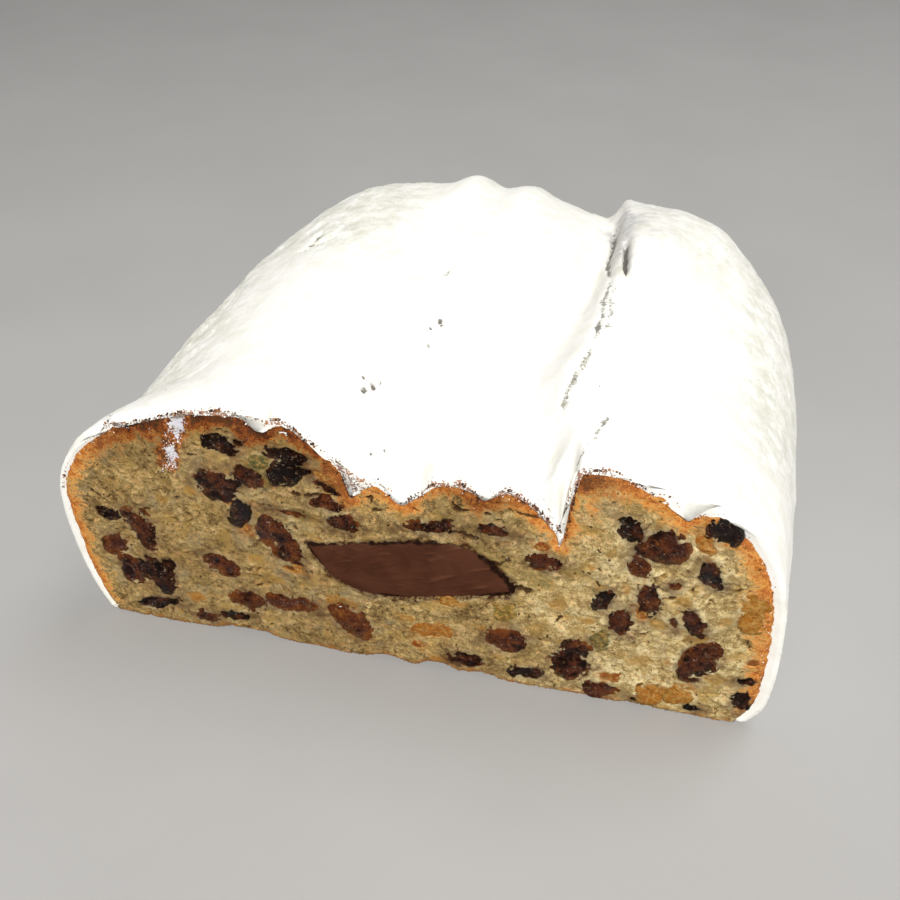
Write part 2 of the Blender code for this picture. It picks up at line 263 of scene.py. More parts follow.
# ================================================================ the crust's outline at the cut
# where the knife met the crust it runs in scallops: (x, height, half width)
SCALLOPS = [(-50.6, 1.6, 1.3), (-23.2, -3.1, 2.3), (-15.4, -2.3, 2.1), (-10.3, 3.7, 1.35), (-8.3, -2.2, 0.8),
            (-5.0, -0.6, 1.5), (0.4, -5.6, 2.9), (3.8, -1.5, 1.3), (10.0, 0.7, 2.6), (14.6, -1.4, 1.7), (18.2, 1.3, 2.0),
            (24.2, 1.0, 1.2), (27.8, -12.5, 0.9), (28.8, 1.0, 0.9), (34.0, 0.6, 2.0), (40.0, -1.2, 1.8),
            (46.4, -3.9, 2.0), (49.6, -1.0, 1.5)]
# hollows under the front edge: (x, height, half width)
HOLLOWS = [(-33.0, 1.7, 6.5), (-3.5, 1.3, 3.0), (6.3, 1.9, 3.2), (14.5, 1.0, 3.6), (45.0, 0.5, 3.0)]


def scallop(x, y):
    total = np.zeros_like(x)
    for cx, h, w in SCALLOPS:
        total = total + h * bell(x, cx, w)
    return total * np.exp(-(y / 9.0) ** 2)


def hollow(x, y):
    total = np.zeros_like(x)
    for cx, h, w in HOLLOWS:
        total = total + h * np.exp(-np.abs((x - cx) / w) ** 3)
    return total * np.exp(-(y / 10.0) ** 2)


def lean(p):
    """The right flank is drawn in a little at half height and stands fuller by the foot."""
    near = np.exp(-(p[..., 1] / 30.0) ** 2) * smooth(40.0, 58.0, p[..., 0])
    p[..., 0] += near * (-1.5 * bell(p[..., 2], 33.0, 11.0) + 1.3 * bell(p[..., 2], 6.0, 8.0))
    return p


def crust_line(t):
    """One section of the crust with its scallops, right foot to left foot."""
    p = lean(section(t, False))
    p[:, 2] += smooth(26.0, 40.0, p[:, 2]) * scallop(p[:, 0], p[:, 1])
    return p


def resample(p, n, ramp=None):
    seg = np.sqrt((np.diff(p[:, [0, 2]], axis=0) ** 2).sum(1))
    arc = np.concatenate([[0.0], np.cumsum(seg)])
    s = np.linspace(0.0, 1.0, n) if ramp is None else ramp
    s = s * arc[-1]
    return np.stack([np.interp(s, arc, p[:, k]) for k in range(3)], -1)


def normals_of(grid):
    du = np.gradient(grid, axis=0)
    dv = np.gradient(grid, axis=1)
    n = np.cross(du, dv)
    length = np.linalg.norm(n, axis=-1, keepdims=True)
    return n / np.maximum(length, 1e-9)


def box_blur(a, r, axis):
    pad = [(0, 0)] * a.ndim
    pad[axis] = (r + 1, r)
    c = np.cumsum(np.pad(a, pad, mode="edge"), axis=axis)
    hi = np.take(c, range(2 * r + 1, c.shape[axis]), axis=axis)
    lo = np.take(c, range(0, c.shape[axis] - 2 * r - 1), axis=axis)
    return (hi - lo) / (2 * r + 1)


def blur(a, r):
    for _ in range(2):
        a = box_blur(box_blur(a, r, 0), r, 1)
    return a


# ================================================================ fruit, mm: x, z, long, short, tilt, tone (0 black .. 1 pale)
RAISINS = [
    (-30.4, 50.6, 5.8, 4.0, 0, 0.12), (-19.5, 50.5, 7.0, 2.6, -12, 0.16), (-20.2, 46.0, 5.6, 4.2, 30, 0.06),
    (-33.4, 41.3, 7.4, 5.8, -40, 0.28), (-27.0, 44.2, 5.2, 3.8, -18, 0.36), (-29.4, 35.3, 6.0, 3.9, 70, 0.16),
    (-12.8, 40.8, 5.4, 2.6, -3, 0.44), (-10.4, 36.8, 5.2, 3.6, 12, 0.40), (-50.4, 27.0, 9.6, 5.6, -78, 0.40),
    (-56.6, 29.4, 4.4, 2.6, -10, 0.16), (-57.0, 21.2, 5.6, 4.4, 40, 0.52), (-55.2, 14.6, 7.4, 5.0, -80, 0.36),
    (-49.8, 14.3, 9.2, 6.0, -78, 0.22), (-36.0, 20.6, 6.4, 4.8, -8, 0.54), (-21.9, 28.0, 12.6, 5.8, -66, 0.48),
    (-52.0, 5.2, 9.5, 3.0, 16, 0.14), (-31.6, 10.4, 6.7, 5.2, -28, 0.52), (-22.5, 12.0, 9.8, 3.6, -6, 0.60),
    (-35.6, 5.4, 7.0, 2.2, 10, 0.18), (-41.4, 3.6, 4.6, 3.2, 0, 0.46), (-10.9, 10.2, 9.8, 5.8, -62, 0.66),
    (5.2, 38.9, 8.6, 2.2, 8, 0.30), (25.3, 35.0, 5.2, 3.5, -4, 0.34), (44.2, 43.1, 6.3, 5.8, -60, 0.38),
    (38.4, 45.2, 5.2, 3.2, -56, 0.14), (40.7, 37.5, 5.2, 3.0, -68, 0.54), (52.0, 47.7, 5.2, 3.8, -36, 0.08),
    (52.2, 37.9, 6.4, 3.4, -53, 0.26), (43.4, 30.0, 7.4, 3.6, -76, 0.40), (39.2, 23.6, 6.2, 3.6, -84, 0.40),
    (51.4, 26.0, 7.0, 3.0, -64, 0.34), (53.7, 15.8, 9.2, 6.0, 84, 0.42), (31.8, 10.3, 8.0, 7.2, 50, 0.34),
    (24.0, 4.2, 6.0, 3.6, 7, 0.18), (19.2, 12.4, 7.0, 4.8, 11, 0.50), (12.0, 5.2, 6.4, 3.6, 8, 0.26),
    (38.3, 3.4, 6.4, 4.0, 8, 0.48), (62.9, 7.0, 4.9, 3.0, -82, 0.12), (16.6, 40.6, 4.6, 2.4, -3, 0.34)]
# lobes, tails and scraps of the same fruit that run out of the pieces above
SCRAPS = [
    (-27.2, 51.8, 2.0, 1.3, -18, 0.10), (-16.2, 47.2, 2.8, 0.9, 16, 0.08), (-12.6, 44.6, 4.8, 1.2, -32, 0.30),
    (-19.6, 37.1, 5.8, 1.1, -6, 0.58), (47.0, 34.2, 1.9, 1.5, 14, 0.62), (48.1, 25.4, 2.8, 1.5, -69, 0.56),
    (62.8, 12.7, 3.2, 1.4, 12, 0.14), (35.9, 27.9, 5.0, 2.8, 73, 0.14), (55.1, 2.3, 2.6, 1.4, 4, 0.10),
    (44.8, 2.0, 2.2, 1.2, 2, 0.12), (41.2, 42.0, 3.8, 2.8, 20, 0.40), (54.6, 19.4, 4.2, 3.6, 12, 0.46),
    (-24.0, 32.8, 4.6, 3.0, -70, 0.42), (-52.6, 30.2, 3.2, 2.0, -60, 0.20), (-29.9, 42.0, 3.0, 3.6, -60, 0.34),
    (33.4, 14.0, 3.6, 2.6, 40, 0.34), (21.6, 13.6, 3.0, 2.0, 20, 0.46), (-47.0, 17.4, 3.6, 2.8, 60, 0.12)]
# the last number is the hue here: 0 green, 0.35 yellow-green, 0.6 amber, 1 orange
PEELS = [
    (-24.0, 48.2, 3.4, 2.8, 20, 0.05), (36.5, 17.4, 5.0, 2.8, 87, 0.0), (60.5, 30.8, 9.8, 4.2, -80, 0.64),
    (5.3, 11.4, 6.4, 4.2, 12, 0.80), (47.2, 4.7, 6.0, 4.4, 66, 0.70), (18.6, 20.4, 4.6, 3.4, 55, 0.30)]
# smaller pieces than a berry: x, z, long, short, tilt, hue
BITS = [
    (-12.8, 46.8, 3.4, 1.2, -40, 0.96), (39.2, 7.4, 3.4, 2.6, 0, 0.96), (50.0, 45.0, 4.2, 2.6, -60, 0.76),
    (52.0, 5.8, 5.2, 4.2, 40, 0.68), (62.8, 18.2, 1.9, 1.6, 70, 1.0), (8.6, 20.8, 3.6, 2.2, 0, 0.62),
    (24.6, 38.6, 2.4, 1.8, 30, 0.95), (2.6, 6.6, 2.2, 1.6, 0, 1.0), (-31.1, 38.2, 2.6, 1.8, -62, 0.78),
    (-29.0, 31.6, 2.4, 1.4, -65, 0.95), (-21.0, 22.4, 3.4, 1.8, 4, 0.74), (42.7, 26.2, 3.0, 1.8, -80, 0.86),
    (-24.9, 44.9, 1.9, 0.8, -50, 1.0)]
# dark splits in the crumb, painted dark as the shade inside them: x, z, length, width, tilt
CRACKS = [
    (-13.4, 42.7, 8.6, 0.9, 8), (10.8, 44.3, 4.2, 1.0, 4), (15.4, 44.0, 1.8, 0.8, -20), (21.4, 45.4, 3.6, 1.0, -14),
    (12.0, 38.2, 4.8, 1.1, -16), (17.2, 43.2, 2.0, 0.7, 40), (8.6, 40.8, 2.4, 0.8, 20), (21.9, 27.2, 4.6, 1.7, 2), (44.7, 5.6, 3.0, 0.8, 70),
    (-19.2, 33.6, 2.6, 0.8, -50), (-36.4, 47.4, 2.6, 0.7, 10), (-58.2, 34.6, 2.4, 0.9, -30), (46.4, 31.2, 2.2, 0.7, 30),
    (34.4, 31.8, 2.0, 0.6, -50), (54.8, 21.0, 3.2, 0.7, 12), (57.6, 7.6, 4.6, 0.7, 16), (44.2, 21.4, 1.8, 0.6, 30),
    (-43.0, 30.4, 3.4, 0.6, -42), (-48.8, 32.0, 3.0, 0.6, 20), (2.8, 42.4, 1.8, 0.7, -30), (-4.0, 41.0, 2.4, 0.7, 10),
    (28.6, 20.8, 1.8, 0.6, 60), (31.2, 12.0, 1.4, 0.6, -20), (-28.6, 16.0, 1.6, 0.5, 40), (-14.6, 22.0, 1.6, 0.5, -40)]
# translucent yellow citron seen at the cut, set level with the crumb: x, z, long, short, tilt, hue
CITRON = [
    (-24.5, 45.6, 7.5, 6.5, 20, 0.10), (-38.5, 38.5, 3.5, 2.4, 0, 0.50), (-12.5, 15.5, 6.0, 4.0, 10, 0.62),
    (43.0, 50.5, 5.4, 3.6, -8, 0.45), (37.8, 50.6, 3.6, 3.2, 0, 0.40), (24.4, 30.0, 7.0, 4.6, -12, 0.34),
    (16.4, 32.4, 10.0, 5.0, -30, 0.32), (49.0, 31.0, 3.2, 2.6, 0, 0.48), (28.3, 25.2, 3.4, 3.2, 10, 0.52),
    (25.4, 17.5, 5.0, 3.6, 50, 0.42), (45.6, 24.0, 4.0, 3.0, 10, 0.48), (52.4, 21.5, 3.6, 3.0, 0, 0.52),
    (57.4, 12.2, 5.4, 3.8, 0, 0.50), (44.0, 13.6, 5.0, 3.2, 30, 0.50), (34.0, 21.8, 3.4, 2.6, 0, 0.52),
    (-18.0, 36.8, 6.0, 3.2, -10, 0.30), (-44.4, 35.5, 3.4, 2.2, 20, 0.45), (-25.0, 18.4, 4.6, 3.2, 0, 0.48),
    (-42.6, 9.4, 4.6, 2.6, 12, 0.62), (0.8, 14.0, 4.2, 2.6, 0, 0.58), (36.0, 39.6, 3.2, 2.2, 60, 0.42),
    (31.6, 44.0, 4.4, 3.0, 0, 0.44), (-28.2, 24.0, 3.6, 2.6, 0, 0.46), (58.6, 40.6, 3.2, 2.2, -60, 0.55),
    (30.0, 33.4, 4.0, 2.6, 0, 0.40), (12.4, 27.8, 3.6, 2.4, 10, 0.5), (6.0, 3.6, 3.4, 2.0, 0, 0.6),
    (62.8, 24.8, 4.6, 2.0, -82, 0.86), (42.7, 48.4, 2.6, 1.9, 12, 0.62), (-40.8, 29.8, 3.6, 2.2, 70, 0.40),
    (-33.6, 28.2, 4.4, 2.4, 80, 0.42), (56.4, 28.0, 2.6, 1.8, 20, 0.50), (44.8, 36.6, 2.4, 1.6, 80, 0.5)]


def ellipse_at(x, z, piece):
    """How far out points lie from a piece's centre: 1 on its rim."""
    a = math.radians(piece[4])
    dx, dz = x - piece[0], z - piece[1]
    u = dx * math.cos(a) + dz * math.sin(a)
    v = -dx * math.sin(a) + dz * math.cos(a)
    return np.sqrt((u / (piece[2] / 2)) ** 2 + (v / (piece[3] / 2)) ** 2)


def core_outline(n=720):
    a = np.linspace(0.0, 2.0 * math.pi, n, endpoint=False)
    u = np.cos(a)
    half = CORE_HALF_HEIGHT * (1.0 - np.abs(u) ** 2.4) ** 0.7
    line = 1.8 * np.sin(2.6 * u) + np.where(u < 0, 3.5 * u ** 6, -2.0 * u ** 4)
    x = CORE_CENTRE[0] + CORE_HALF_WIDTH * u
    mid = CORE_CENTRE[1] + line
    return np.stack([x, mid + half * np.sign(np.sin(a)) * 1.0], -1), np.stack([x, mid], -1)


# ================================================================ 1 the crumb at the cut
H = 0.272
_line = crust_line(0.0)[:, [0, 2]]
_line = resample(np.insert(_line, 1, 0.0, axis=1), 900)[:, [0, 2]]
_edge_noise = 0.42 * fbm(flat(_line[:, 0], _line[:, 1]), 2.4, 3, 21) + 0.20 * noise(flat(_line[:, 0], _line[:, 1]), 0.9, 23)
_centre = np.array([1.0, 22.0])
_out = _line - _centre
_out /= np.linalg.norm(_out, axis=1, keepdims=True)
_up = smooth(3.0, 9.0, _line[:, 1])
_line = _line + _out * (_edge_noise * _up)[:, None]
_bx = np.linspace(_line[-1, 0], _line[0, 0], 520)
_bz = 0.12 + hollow(_bx, 0.0) + 0.30 * np.maximum(fbm(flat(_bx, _bx * 0), 2.4, 3, 31), -0.3)
_bz[0] = _bz[-1] = 0.12
OUTLINE = np.concatenate([_line, np.stack([_bx, _bz], -1)[1:-1]])
CROWN = len(_line)

gx = np.arange(-64.6, 67.2, H)
gz = np.arange(-0.4, 59.8, H)
GX, GZ = np.meshgrid(gx, gz, indexing="ij")
_poly = OUTLINE[::2]
IN = inside(_poly, GX, GZ)
EDGE, _near = to_line(OUTLINE, GX, GZ)
CROWN_D, _ = to_line(_line[::2], GX, GZ)
BASE_D, _ = to_line(np.stack([_bx, _bz], -1)[::3], GX, GZ)
SD = np.where(IN, EDGE, -EDGE)

P = flat(GX, GZ)
CORE, CORE_MID = core_outline()
CORE_IN = inside(CORE[::3], GX, GZ)
CORE_SD, _ = to_line(CORE, GX, GZ)
CORE_SD = np.where(CORE_IN, CORE_SD, -CORE_SD)          # positive inside the core


def billow(p, scale, seed):
    return np.abs(noise(p, scale, seed))


def nicks(scale, turn, stretch, seed, lo, hi):
    """Short torn pores: stretched spots round scattered points, 1 in their middle."""
    a = math.radians(turn)
    u = (GX * math.cos(a) + GZ * math.sin(a)) / stretch
    v = -GX * math.sin(a) + GZ * math.cos(a)
    q = flat(u, v) + 0.30 * np.stack([noise(P, 1.1, seed + 1), noise(P, 1.1, seed + 2), noise(P, 1.1, seed + 3)], -1)
    q[..., 1] = seed * 3.3
    f1, _ = cells(q, scale, seed)
    size = 0.5 + 0.9 * noise(P, 2.6, seed + 4)
    return 1.0 - smooth(lo, hi, f1 / np.clip(size, 0.15, 1.2))


def crumb_surface():
    """Relief towards the viewer in mm, and the masks that the crumb's colours are mixed from."""
    warp = np.stack([noise(P, 3.0, 40), noise(P, 3.0, 41), noise(P, 3.0, 42)], -1)
    warp = warp + 0.5 * np.stack([noise(P, 1.2, 43), noise(P, 1.2, 44), noise(P, 1.2, 45)], -1)
    W = P * np.array([1.0, 1.0, 1.20]) + 0.9 * warp
    open_ = smooth(-0.30, 0.30, noise(P, 9.0, 8.0))                      # some of the crumb is opener, some denser
    lumps = 0.62 * (billow(W, 3.6, 1.0) - 0.3) + 0.52 * (billow(W, 1.7, 2.0) - 0.3) + 0.40 * (billow(W, 0.9, 3.0) - 0.3)
    swell = 0.55 * fbm(P, 9.0, 2, 3.0) + 0.34 * fbm(W, 3.6, 2, 4.0)
    n = fbm(W, 2.4, 4, 5.0, 0.62)
    pores = np.maximum(nicks(2.1, 25.0, 1.7, 10.0, 0.10, 0.26), nicks(2.4, -50.0, 1.9, 11.0, 0.09, 0.24))
    pores = np.maximum(pores, nicks(1.5, 80.0, 1.3, 12.0, 0.10, 0.26)) * (0.35 + 0.65 * open_)
    fine = smooth(0.26, 0.52, fbm(W, 0.85, 2, 7.0))
    tear = (1.0 - smooth(0.02, 0.07, billow(W, 5.0, 13.0))) * smooth(0.14, 0.34, noise(P, 4.0, 14.0))
    grain = 0.13 * noise(P, 0.55, 15.0) + 0.12 * noise(P, 0.85, 18.0)
    rough = smooth(0.3, 4.5, CROWN_D + 1.2 * noise(P, 4.0, 16.0))       # the crust is closer grained
    rough = (0.50 + 0.50 * rough) * (0.55 + 0.55 * open_)
    hole = smooth(0.36, 0.54, n) * smooth(3.0, 6.0, CROWN_D)
    out = (lumps * 0.72 + grain - 0.75 * pores - 0.22 * fine - 0.60 * tear) * rough + swell - 0.8 * hole
    return out, np.clip(1.0 * pores + 0.9 * tear + 0.35 * fine + 0.35 * hole, 0, 1.8) * (0.45 + 0.55 * rough), n


RELIEF, PORE, _n = crumb_surface()
STAIN = np.zeros_like(GX)
BIT = np.zeros_like(GX)
HUE = np.full_like(GX, 0.5)
_wob = 0.40 * noise(P, 2.6, 50.0) + 0.30 * noise(P, 1.1, 51.0) + 0.14 * noise(P, 0.5, 53.0)
_juice = 0.45 + 0.55 * smooth(-0.25, 0.35, noise(P, 3.4, 54.0))
_fleck = smooth(0.28, 0.42, noise(P, 1.5, 52.0))                        # crumbs lying on the cut fruit
SOCKET = np.zeros_like(GX)
HALO = np.zeros_like(GX)
for k, piece in enumerate(RAISINS + SCRAPS + PEELS + BITS):
    e = ellipse_at(GX, GZ, piece)
    near = e < 3.0
    ee = e[near] * (1.0 + _wob[near])
    size = piece[3] / 2.0
    is_raisin = k < len(RAISINS) + len(SCRAPS)
    if is_raisin:
        soft = 1.0 - smooth(0.78, 0.95 + 1.25 / size, ee)
        STAIN[near] = np.maximum(STAIN[near], soft * (1.0 - 0.40 * piece[5]) * _juice[near])
        side = math.radians(47.0 * k)                                  # the juice has drawn further to one side
        drawn = 0.55 + 0.45 * ((GX[near] - piece[0]) * math.cos(side) + (GZ[near] - piece[1]) * math.sin(side)) / piece[2]
        HALO[near] = np.maximum(HALO[near], (1.0 - smooth(0.8, 1.0 + 2.6 / size, ee)) * np.clip(drawn, 0.1, 1.0))
    else:
        soft = 0.85 * (1.0 - smooth(0.9, 1.0 + 0.9 / size, ee))
        take = soft > BIT[near]
        HUE[near] = np.where(take, piece[5], HUE[near])
        BIT[near] = np.maximum(BIT[near], soft)
    s = 1.0 - smooth(0.80, 0.96, e[near] * (1.0 + np.maximum(_wob[near], -0.10)))
    s = s * (1.0 - 0.97 * _fleck[near] * smooth(0.25, 0.55, e[near]) * (1.0 if size > 1.6 else 0.3))
    SOCKET[near] = np.maximum(SOCKET[near], s)
    calm = 1.0 - 0.35 * (1.0 - smooth(0.9, 1.5, ee))
    RELIEF[near] *= calm
# each split is cut into the relief and darkened through the pore mask as painted shade
for piece in CRACKS:
    e = ellipse_at(GX, GZ, piece) * (1.0 + 1.6 * _wob)
    m = 1.0 - smooth(0.55, 1.0, e)
    RELIEF = RELIEF - 0.7 * m
    PORE = PORE + 1.5 * m
for piece in CITRON:
    e = ellipse_at(GX, GZ, piece) * (1.0 + 1.2 * _wob)
    m = 1.0 - smooth(0.62, 1.12, e)
    take = m > BIT
    HUE = np.where(take, piece[5], HUE)
    BIT = np.maximum(BIT, m)
# scattered grains of citron and almond too small to name
_r = np.random.default_rng(5)
for _ in range(85):
    cx, cz = _r.uniform(-60, 62), _r.uniform(2, 54)
    piece = (cx, cz, _r.uniform(1.2, 2.8), _r.uniform(0.9, 1.9), _r.uniform(-90, 90), _r.uniform(0.38, 0.62))
    near = (np.abs(GX - cx) < 3.0) & (np.abs(GZ - cz) < 3.0)
    if not near.any():
        continue
    e = ellipse_at(GX[near], GZ[near], piece) * (1.0 + 1.0 * _wob[near])
    m = (1.0 - smooth(0.6, 1.1, e)) * _r.uniform(0.45, 0.95)
    take = m > BIT[near]
    HUE[near] = np.where(take, piece[5], HUE[near])
    BIT[near] = np.maximum(BIT[near], m)
RELIEF = RELIEF * (1.0 - 0.6 * BIT) - 0.05 * BIT
_core_edge = CORE_SD + 0.55 * noise(P, 2.2, 60.0) + 0.35 * noise(P, 0.9, 61.0)
CORE_HOLE = smooth(-0.10, 0.30, _core_edge)
CORE_STAIN = smooth(-1.3, -0.3, _core_edge + 0.5 * noise(P, 3.0, 62.0))
STAIN = np.maximum(STAIN, CORE_STAIN * 1.1)
RELIEF = RELIEF * (1.0 - CORE_HOLE)
DEPTH = -RELIEF + 2.2 * SOCKET + 1.8 * CORE_HOLE                       # mm into the loaf

# ragged notch in the crust on the left, where sugar has fallen into the crack
_nx = -40.1 + 0.34 * (GZ - 48.0) + 0.9 * noise(P, 3.0, 63.0)
NOTCH = bell(GX, _nx, 1.75 + 0.7 * noise(P, 2.0, 64.0)) * smooth(42.0, 44.5, GZ + 1.2 * noise(P, 2.0, 65.0))
SPILL = (bell(GX, -38.0, 1.5) * bell(GZ, 53.6, 3.4) + bell(GX, -40.5, 1.3) * bell(GZ, 46.6, 2.0)) + 0.45 * noise(P, 1.6, 66.0)
SPILL = SPILL * smooth(0.05, 0.4, NOTCH)
DEPTH = DEPTH + 0.8 * NOTCH
# painted shade: how much deeper each point lies than the face round it; the crumb's colour is darkened by it in the
# hollows
CONCAVE = np.clip((DEPTH - blur(DEPTH, 4)) / 0.8, -1.0, 1.0)


def char_zone(x):
    """How dark the crust is baked along the cut: little on the far right."""
    z = 0.52 + 0.50 * bell(x, -36.0, 14.0) + 0.48 * bell(x, -18.0, 7.0) + 0.25 * bell(x, 14.0, 8.0) + 0.28 * bell(x, 31.0, 5.0)
    return np.clip(z * (1.0 - 0.8 * smooth(40.0, 58.0, x)), 0, 1.2) * (1.0 - 0.25 * smooth(-55.0, -63.0, x)) + 0.10 * bell(x, -50.0, 8.0)


def brush_zone(x):
    """How far the powder was brushed off the crust by the knife, 0 to 1."""
    z = 1.25 * char_zone(x) ** 1.6 + 0.42 * (smooth(-14.0, -8.0, x) - smooth(27.0, 30.0, x)) + 0.45 * bell(x, 31.0, 4.5)
    return np.clip(z, 0.0, 1.0)


def build_crumb():
    keep = SD > -0.70 * H
    nx, nz = GX.shape
    px, pz = GX.copy(), GZ.copy()
    # bring the points by the rim onto the outline
    rim = keep & (SD < 0.45 * H)
    px[rim] = OUTLINE[_near[rim], 0]
    pz[rim] = OUTLINE[_near[rim], 1]
    cell = keep[:-1, :-1] & keep[1:, :-1] & keep[1:, 1:] & keep[:-1, 1:]
    idx = np.full(GX.shape, -1, int)
    used = np.zeros(GX.shape, bool)
    used[:-1, :-1] |= cell; used[1:, :-1] |= cell; used[1:, 1:] |= cell; used[:-1, 1:] |= cell
    idx[used] = np.arange(used.sum())
    y = DEPTH.copy()
    roll = 1.0 - smooth(0.0, 1.3, np.minimum(CROWN_D, BASE_D + 0.3))
    y = y * (1.0 - 0.7 * roll) + 0.55 * roll ** 2
    verts = np.stack([px[used], y[used], pz[used]], -1)
    i, j = np.nonzero(cell)
    quads = np.stack([idx[i, j], idx[i + 1, j], idx[i + 1, j + 1], idx[i, j + 1]], -1)
    # a skirt turned back into the loaf all round
    e = np.concatenate([quads[:, [0, 1]], quads[:, [1, 2]], quads[:, [2, 3]], quads[:, [3, 0]]])
    key = np.sort(e, 1)
    _, first, count = np.unique(key[:, 0] * 10000000 + key[:, 1], return_index=True, return_counts=True)
    border = e[first[count == 1]]
    ring = np.unique(border)
    back = verts[ring].copy()
    inward = _centre - back[:, [0, 2]]
    inward /= np.linalg.norm(inward, axis=1, keepdims=True)
    back[:, [0, 2]] += 0.35 * inward
    back[:, 1] = 3.2
    back[:, 2] = np.maximum(back[:, 2], 0.1)
    where = {int(v): len(verts) + k for k, v in enumerate(ring)}
    skirt = np.array([[b, a, where[int(a)], where[int(b)]] for a, b in border])
    faces = np.concatenate([quads, skirt])
    allv = np.concatenate([verts, back])
    obj = make_mesh("crumb_cut", world(allv), faces)

    def give(name, field):
        v = field[used]
        add_value(obj, name, np.concatenate([v, v[np.searchsorted(np.nonzero(used.ravel())[0], np.nonzero(used.ravel())[0][ring])]]))

    wall = bell(GX, 28.5, 4.5) * smooth(53.5, 50.0, GZ)
    zone = char_zone(GX) * (1.0 - 0.45 * wall) + 0.16 * smooth(57.0, 61.0, GX) * smooth(34.0, 28.0, GZ)
    char = (1.0 - smooth(0.0, 1.5, CROWN_D + 0.9 * noise(P, 1.2, 70.0) + 0.6 * noise(P, 4.5, 76.0))) * zone
    width = 3.3 + 1.6 * noise(P, 8.0, 71.0) + 1.3 * noise(P, 3.5, 77.0) + 0.8 * smooth(45.0, 60.0, GX) + 1.9 * bell(GX, -34, 12) + 1.5 * bell(GX, 34, 6) - 1.8 * wall
    width = np.maximum(width, 2.1)
    crust = 1.0 - smooth(-0.10, 1.40, (CROWN_D + 1.3 * noise(P, 2.2, 72.0) + 0.6 * noise(P, 0.8, 73.0)) / width)
    crust = crust * smooth(1.0, 6.0, GZ) * (0.94 + 0.22 * bell(GX, -34.0, 16.0))
    under = 1.0 - smooth(0.2, 1.5, BASE_D + 0.5 * noise(P, 1.8, 74.0))
    tone = 0.25 + 0.05 * smooth(-45, 10, GX) + 0.54 * smooth(12, 36, GX) + 0.08 * smooth(32, 44, GX) * smooth(40, 22, GZ)
    tone = tone + 0.50 * fbm(P, 8.0, 3, 75.0)
    give("golden", 1.0 - np.clip(zone, 0, 1)); give("char", char); give("crust", crust); give("under", under); give("tone", np.clip(tone, 0, 1))
    give("cavity_shade", CONCAVE); give("pore", PORE); give("stain", STAIN); give("bit", BIT); give("hue", HUE)
    give("socket", np.maximum(SOCKET, CORE_HOLE)); give("notch", NOTCH); give("spill", SPILL); give("halo", HALO)
    # an even map of the flat face, the two halves one above the other
    uv = obj.data.uv_layers.new(name="OFBake")
    co = np.empty(len(obj.data.vertices) * 3, np.float32); obj.data.vertices.foreach_get("co", co)
    co = co.reshape(-1, 3) / MM - SHIFT
    loops = np.empty(len(obj.data.loops), np.int32); obj.data.loops.foreach_get("vertex_index", loops)
    total = np.full(len(obj.data.polygons), 4)
    fx = co[loops, 0].reshape(-1, 4).mean(1)
    right = np.repeat(fx > 0.8, 4)
    lx, lz, ly = co[loops, 0], co[loops, 2], co[loops, 1]
    lz = np.where(ly > 3.0, lz - 0.0, lz)
    u = np.where(right, (lx - 0.2) / 68.0, (lx + 66.5) / 68.0)
    v = np.where(right, 0.505, 0.005) + np.clip(lz, 0, 61) / 61.0 * 0.49
    uv.data.foreach_set("uv", np.stack([np.clip(u, 0.002, 0.998), v], -1).astype(np.float32).ravel())
    return obj


# ================================================================ 2 the browned crust
def along(n, first, total):
    """n values of t from 0 to 1, the first step `first` mm, the steps growing towards the rear."""
    a = np.linspace(0.0, 1.0, n)
    lo, hi = 1.0, 4.0
    for _ in range(60):
        k = (lo + hi) / 2
        f = a ** k
        if f[1] * total < first:
            hi = k
        else:
            lo = k
    f = a ** k
    return f


def rear_close(t):
    """Redistribute the last stations so that the rounded rear end is smooth."""
    return np.where(t > 0.8, 0.8 + 0.2 * np.sin(0.5 * math.pi * (t - 0.8) / 0.2) ** 0.85 * 1.0, t)


# short openings in the first fold: x, y, length, width, depth, heading in degrees from +Y
SLITS = [(-10.1, 16.2, 1.5, 1.0, 0.9, 30), (-9.2, 18.2, 1.7, 1.1, 1.0, -40), (-8.3, 19.6, 1.0, 0.7, 0.7, 10),
         (-10.8, 18.2, 0.9, 0.7, 0.6, 0), (-2.8, 34.6, 2.0, 1.0, 1.5, 10), (-2.3, 42.0, 3.4, 1.1, 1.8, -12),
         (-3.2, 38.6, 1.4, 0.7, 0.9, 30), (-4.6, 58.6, 3.2, 1.4, 1.9, 20), (-35.6, 66.0, 7.0, 2.2, 1.7, 62),
         (-37.4, 69.0, 5.0, 1.4, 1.1, 20), (-5.0, 2.6, 0.8, 0.6, 0.3, 0), (-2.8, 4.0, 0.8, 0.6, 0.3, 0),
         (30.2, 20.7, 0.9, 0.6, 0.4, 0), (32.1, 21.2, 1.2, 0.6, 0.5, -30)]


def groove_line(y):
    """Where the deep fold on the right runs, seen from above."""
    return np.interp(y, [0, 9, 13, 18, 25, 31, 38, 44, 50, 56, 63, 74, 86, 94, 104, 113, 133],
                     [27.2, 25.4, 24.8, 25.2, 26.5, 27.4, 28.2, 28.7, 28.4, 29.0, 28.5, 28.0, 27.7, 27.9, 27.4, 26.2, 25.0])


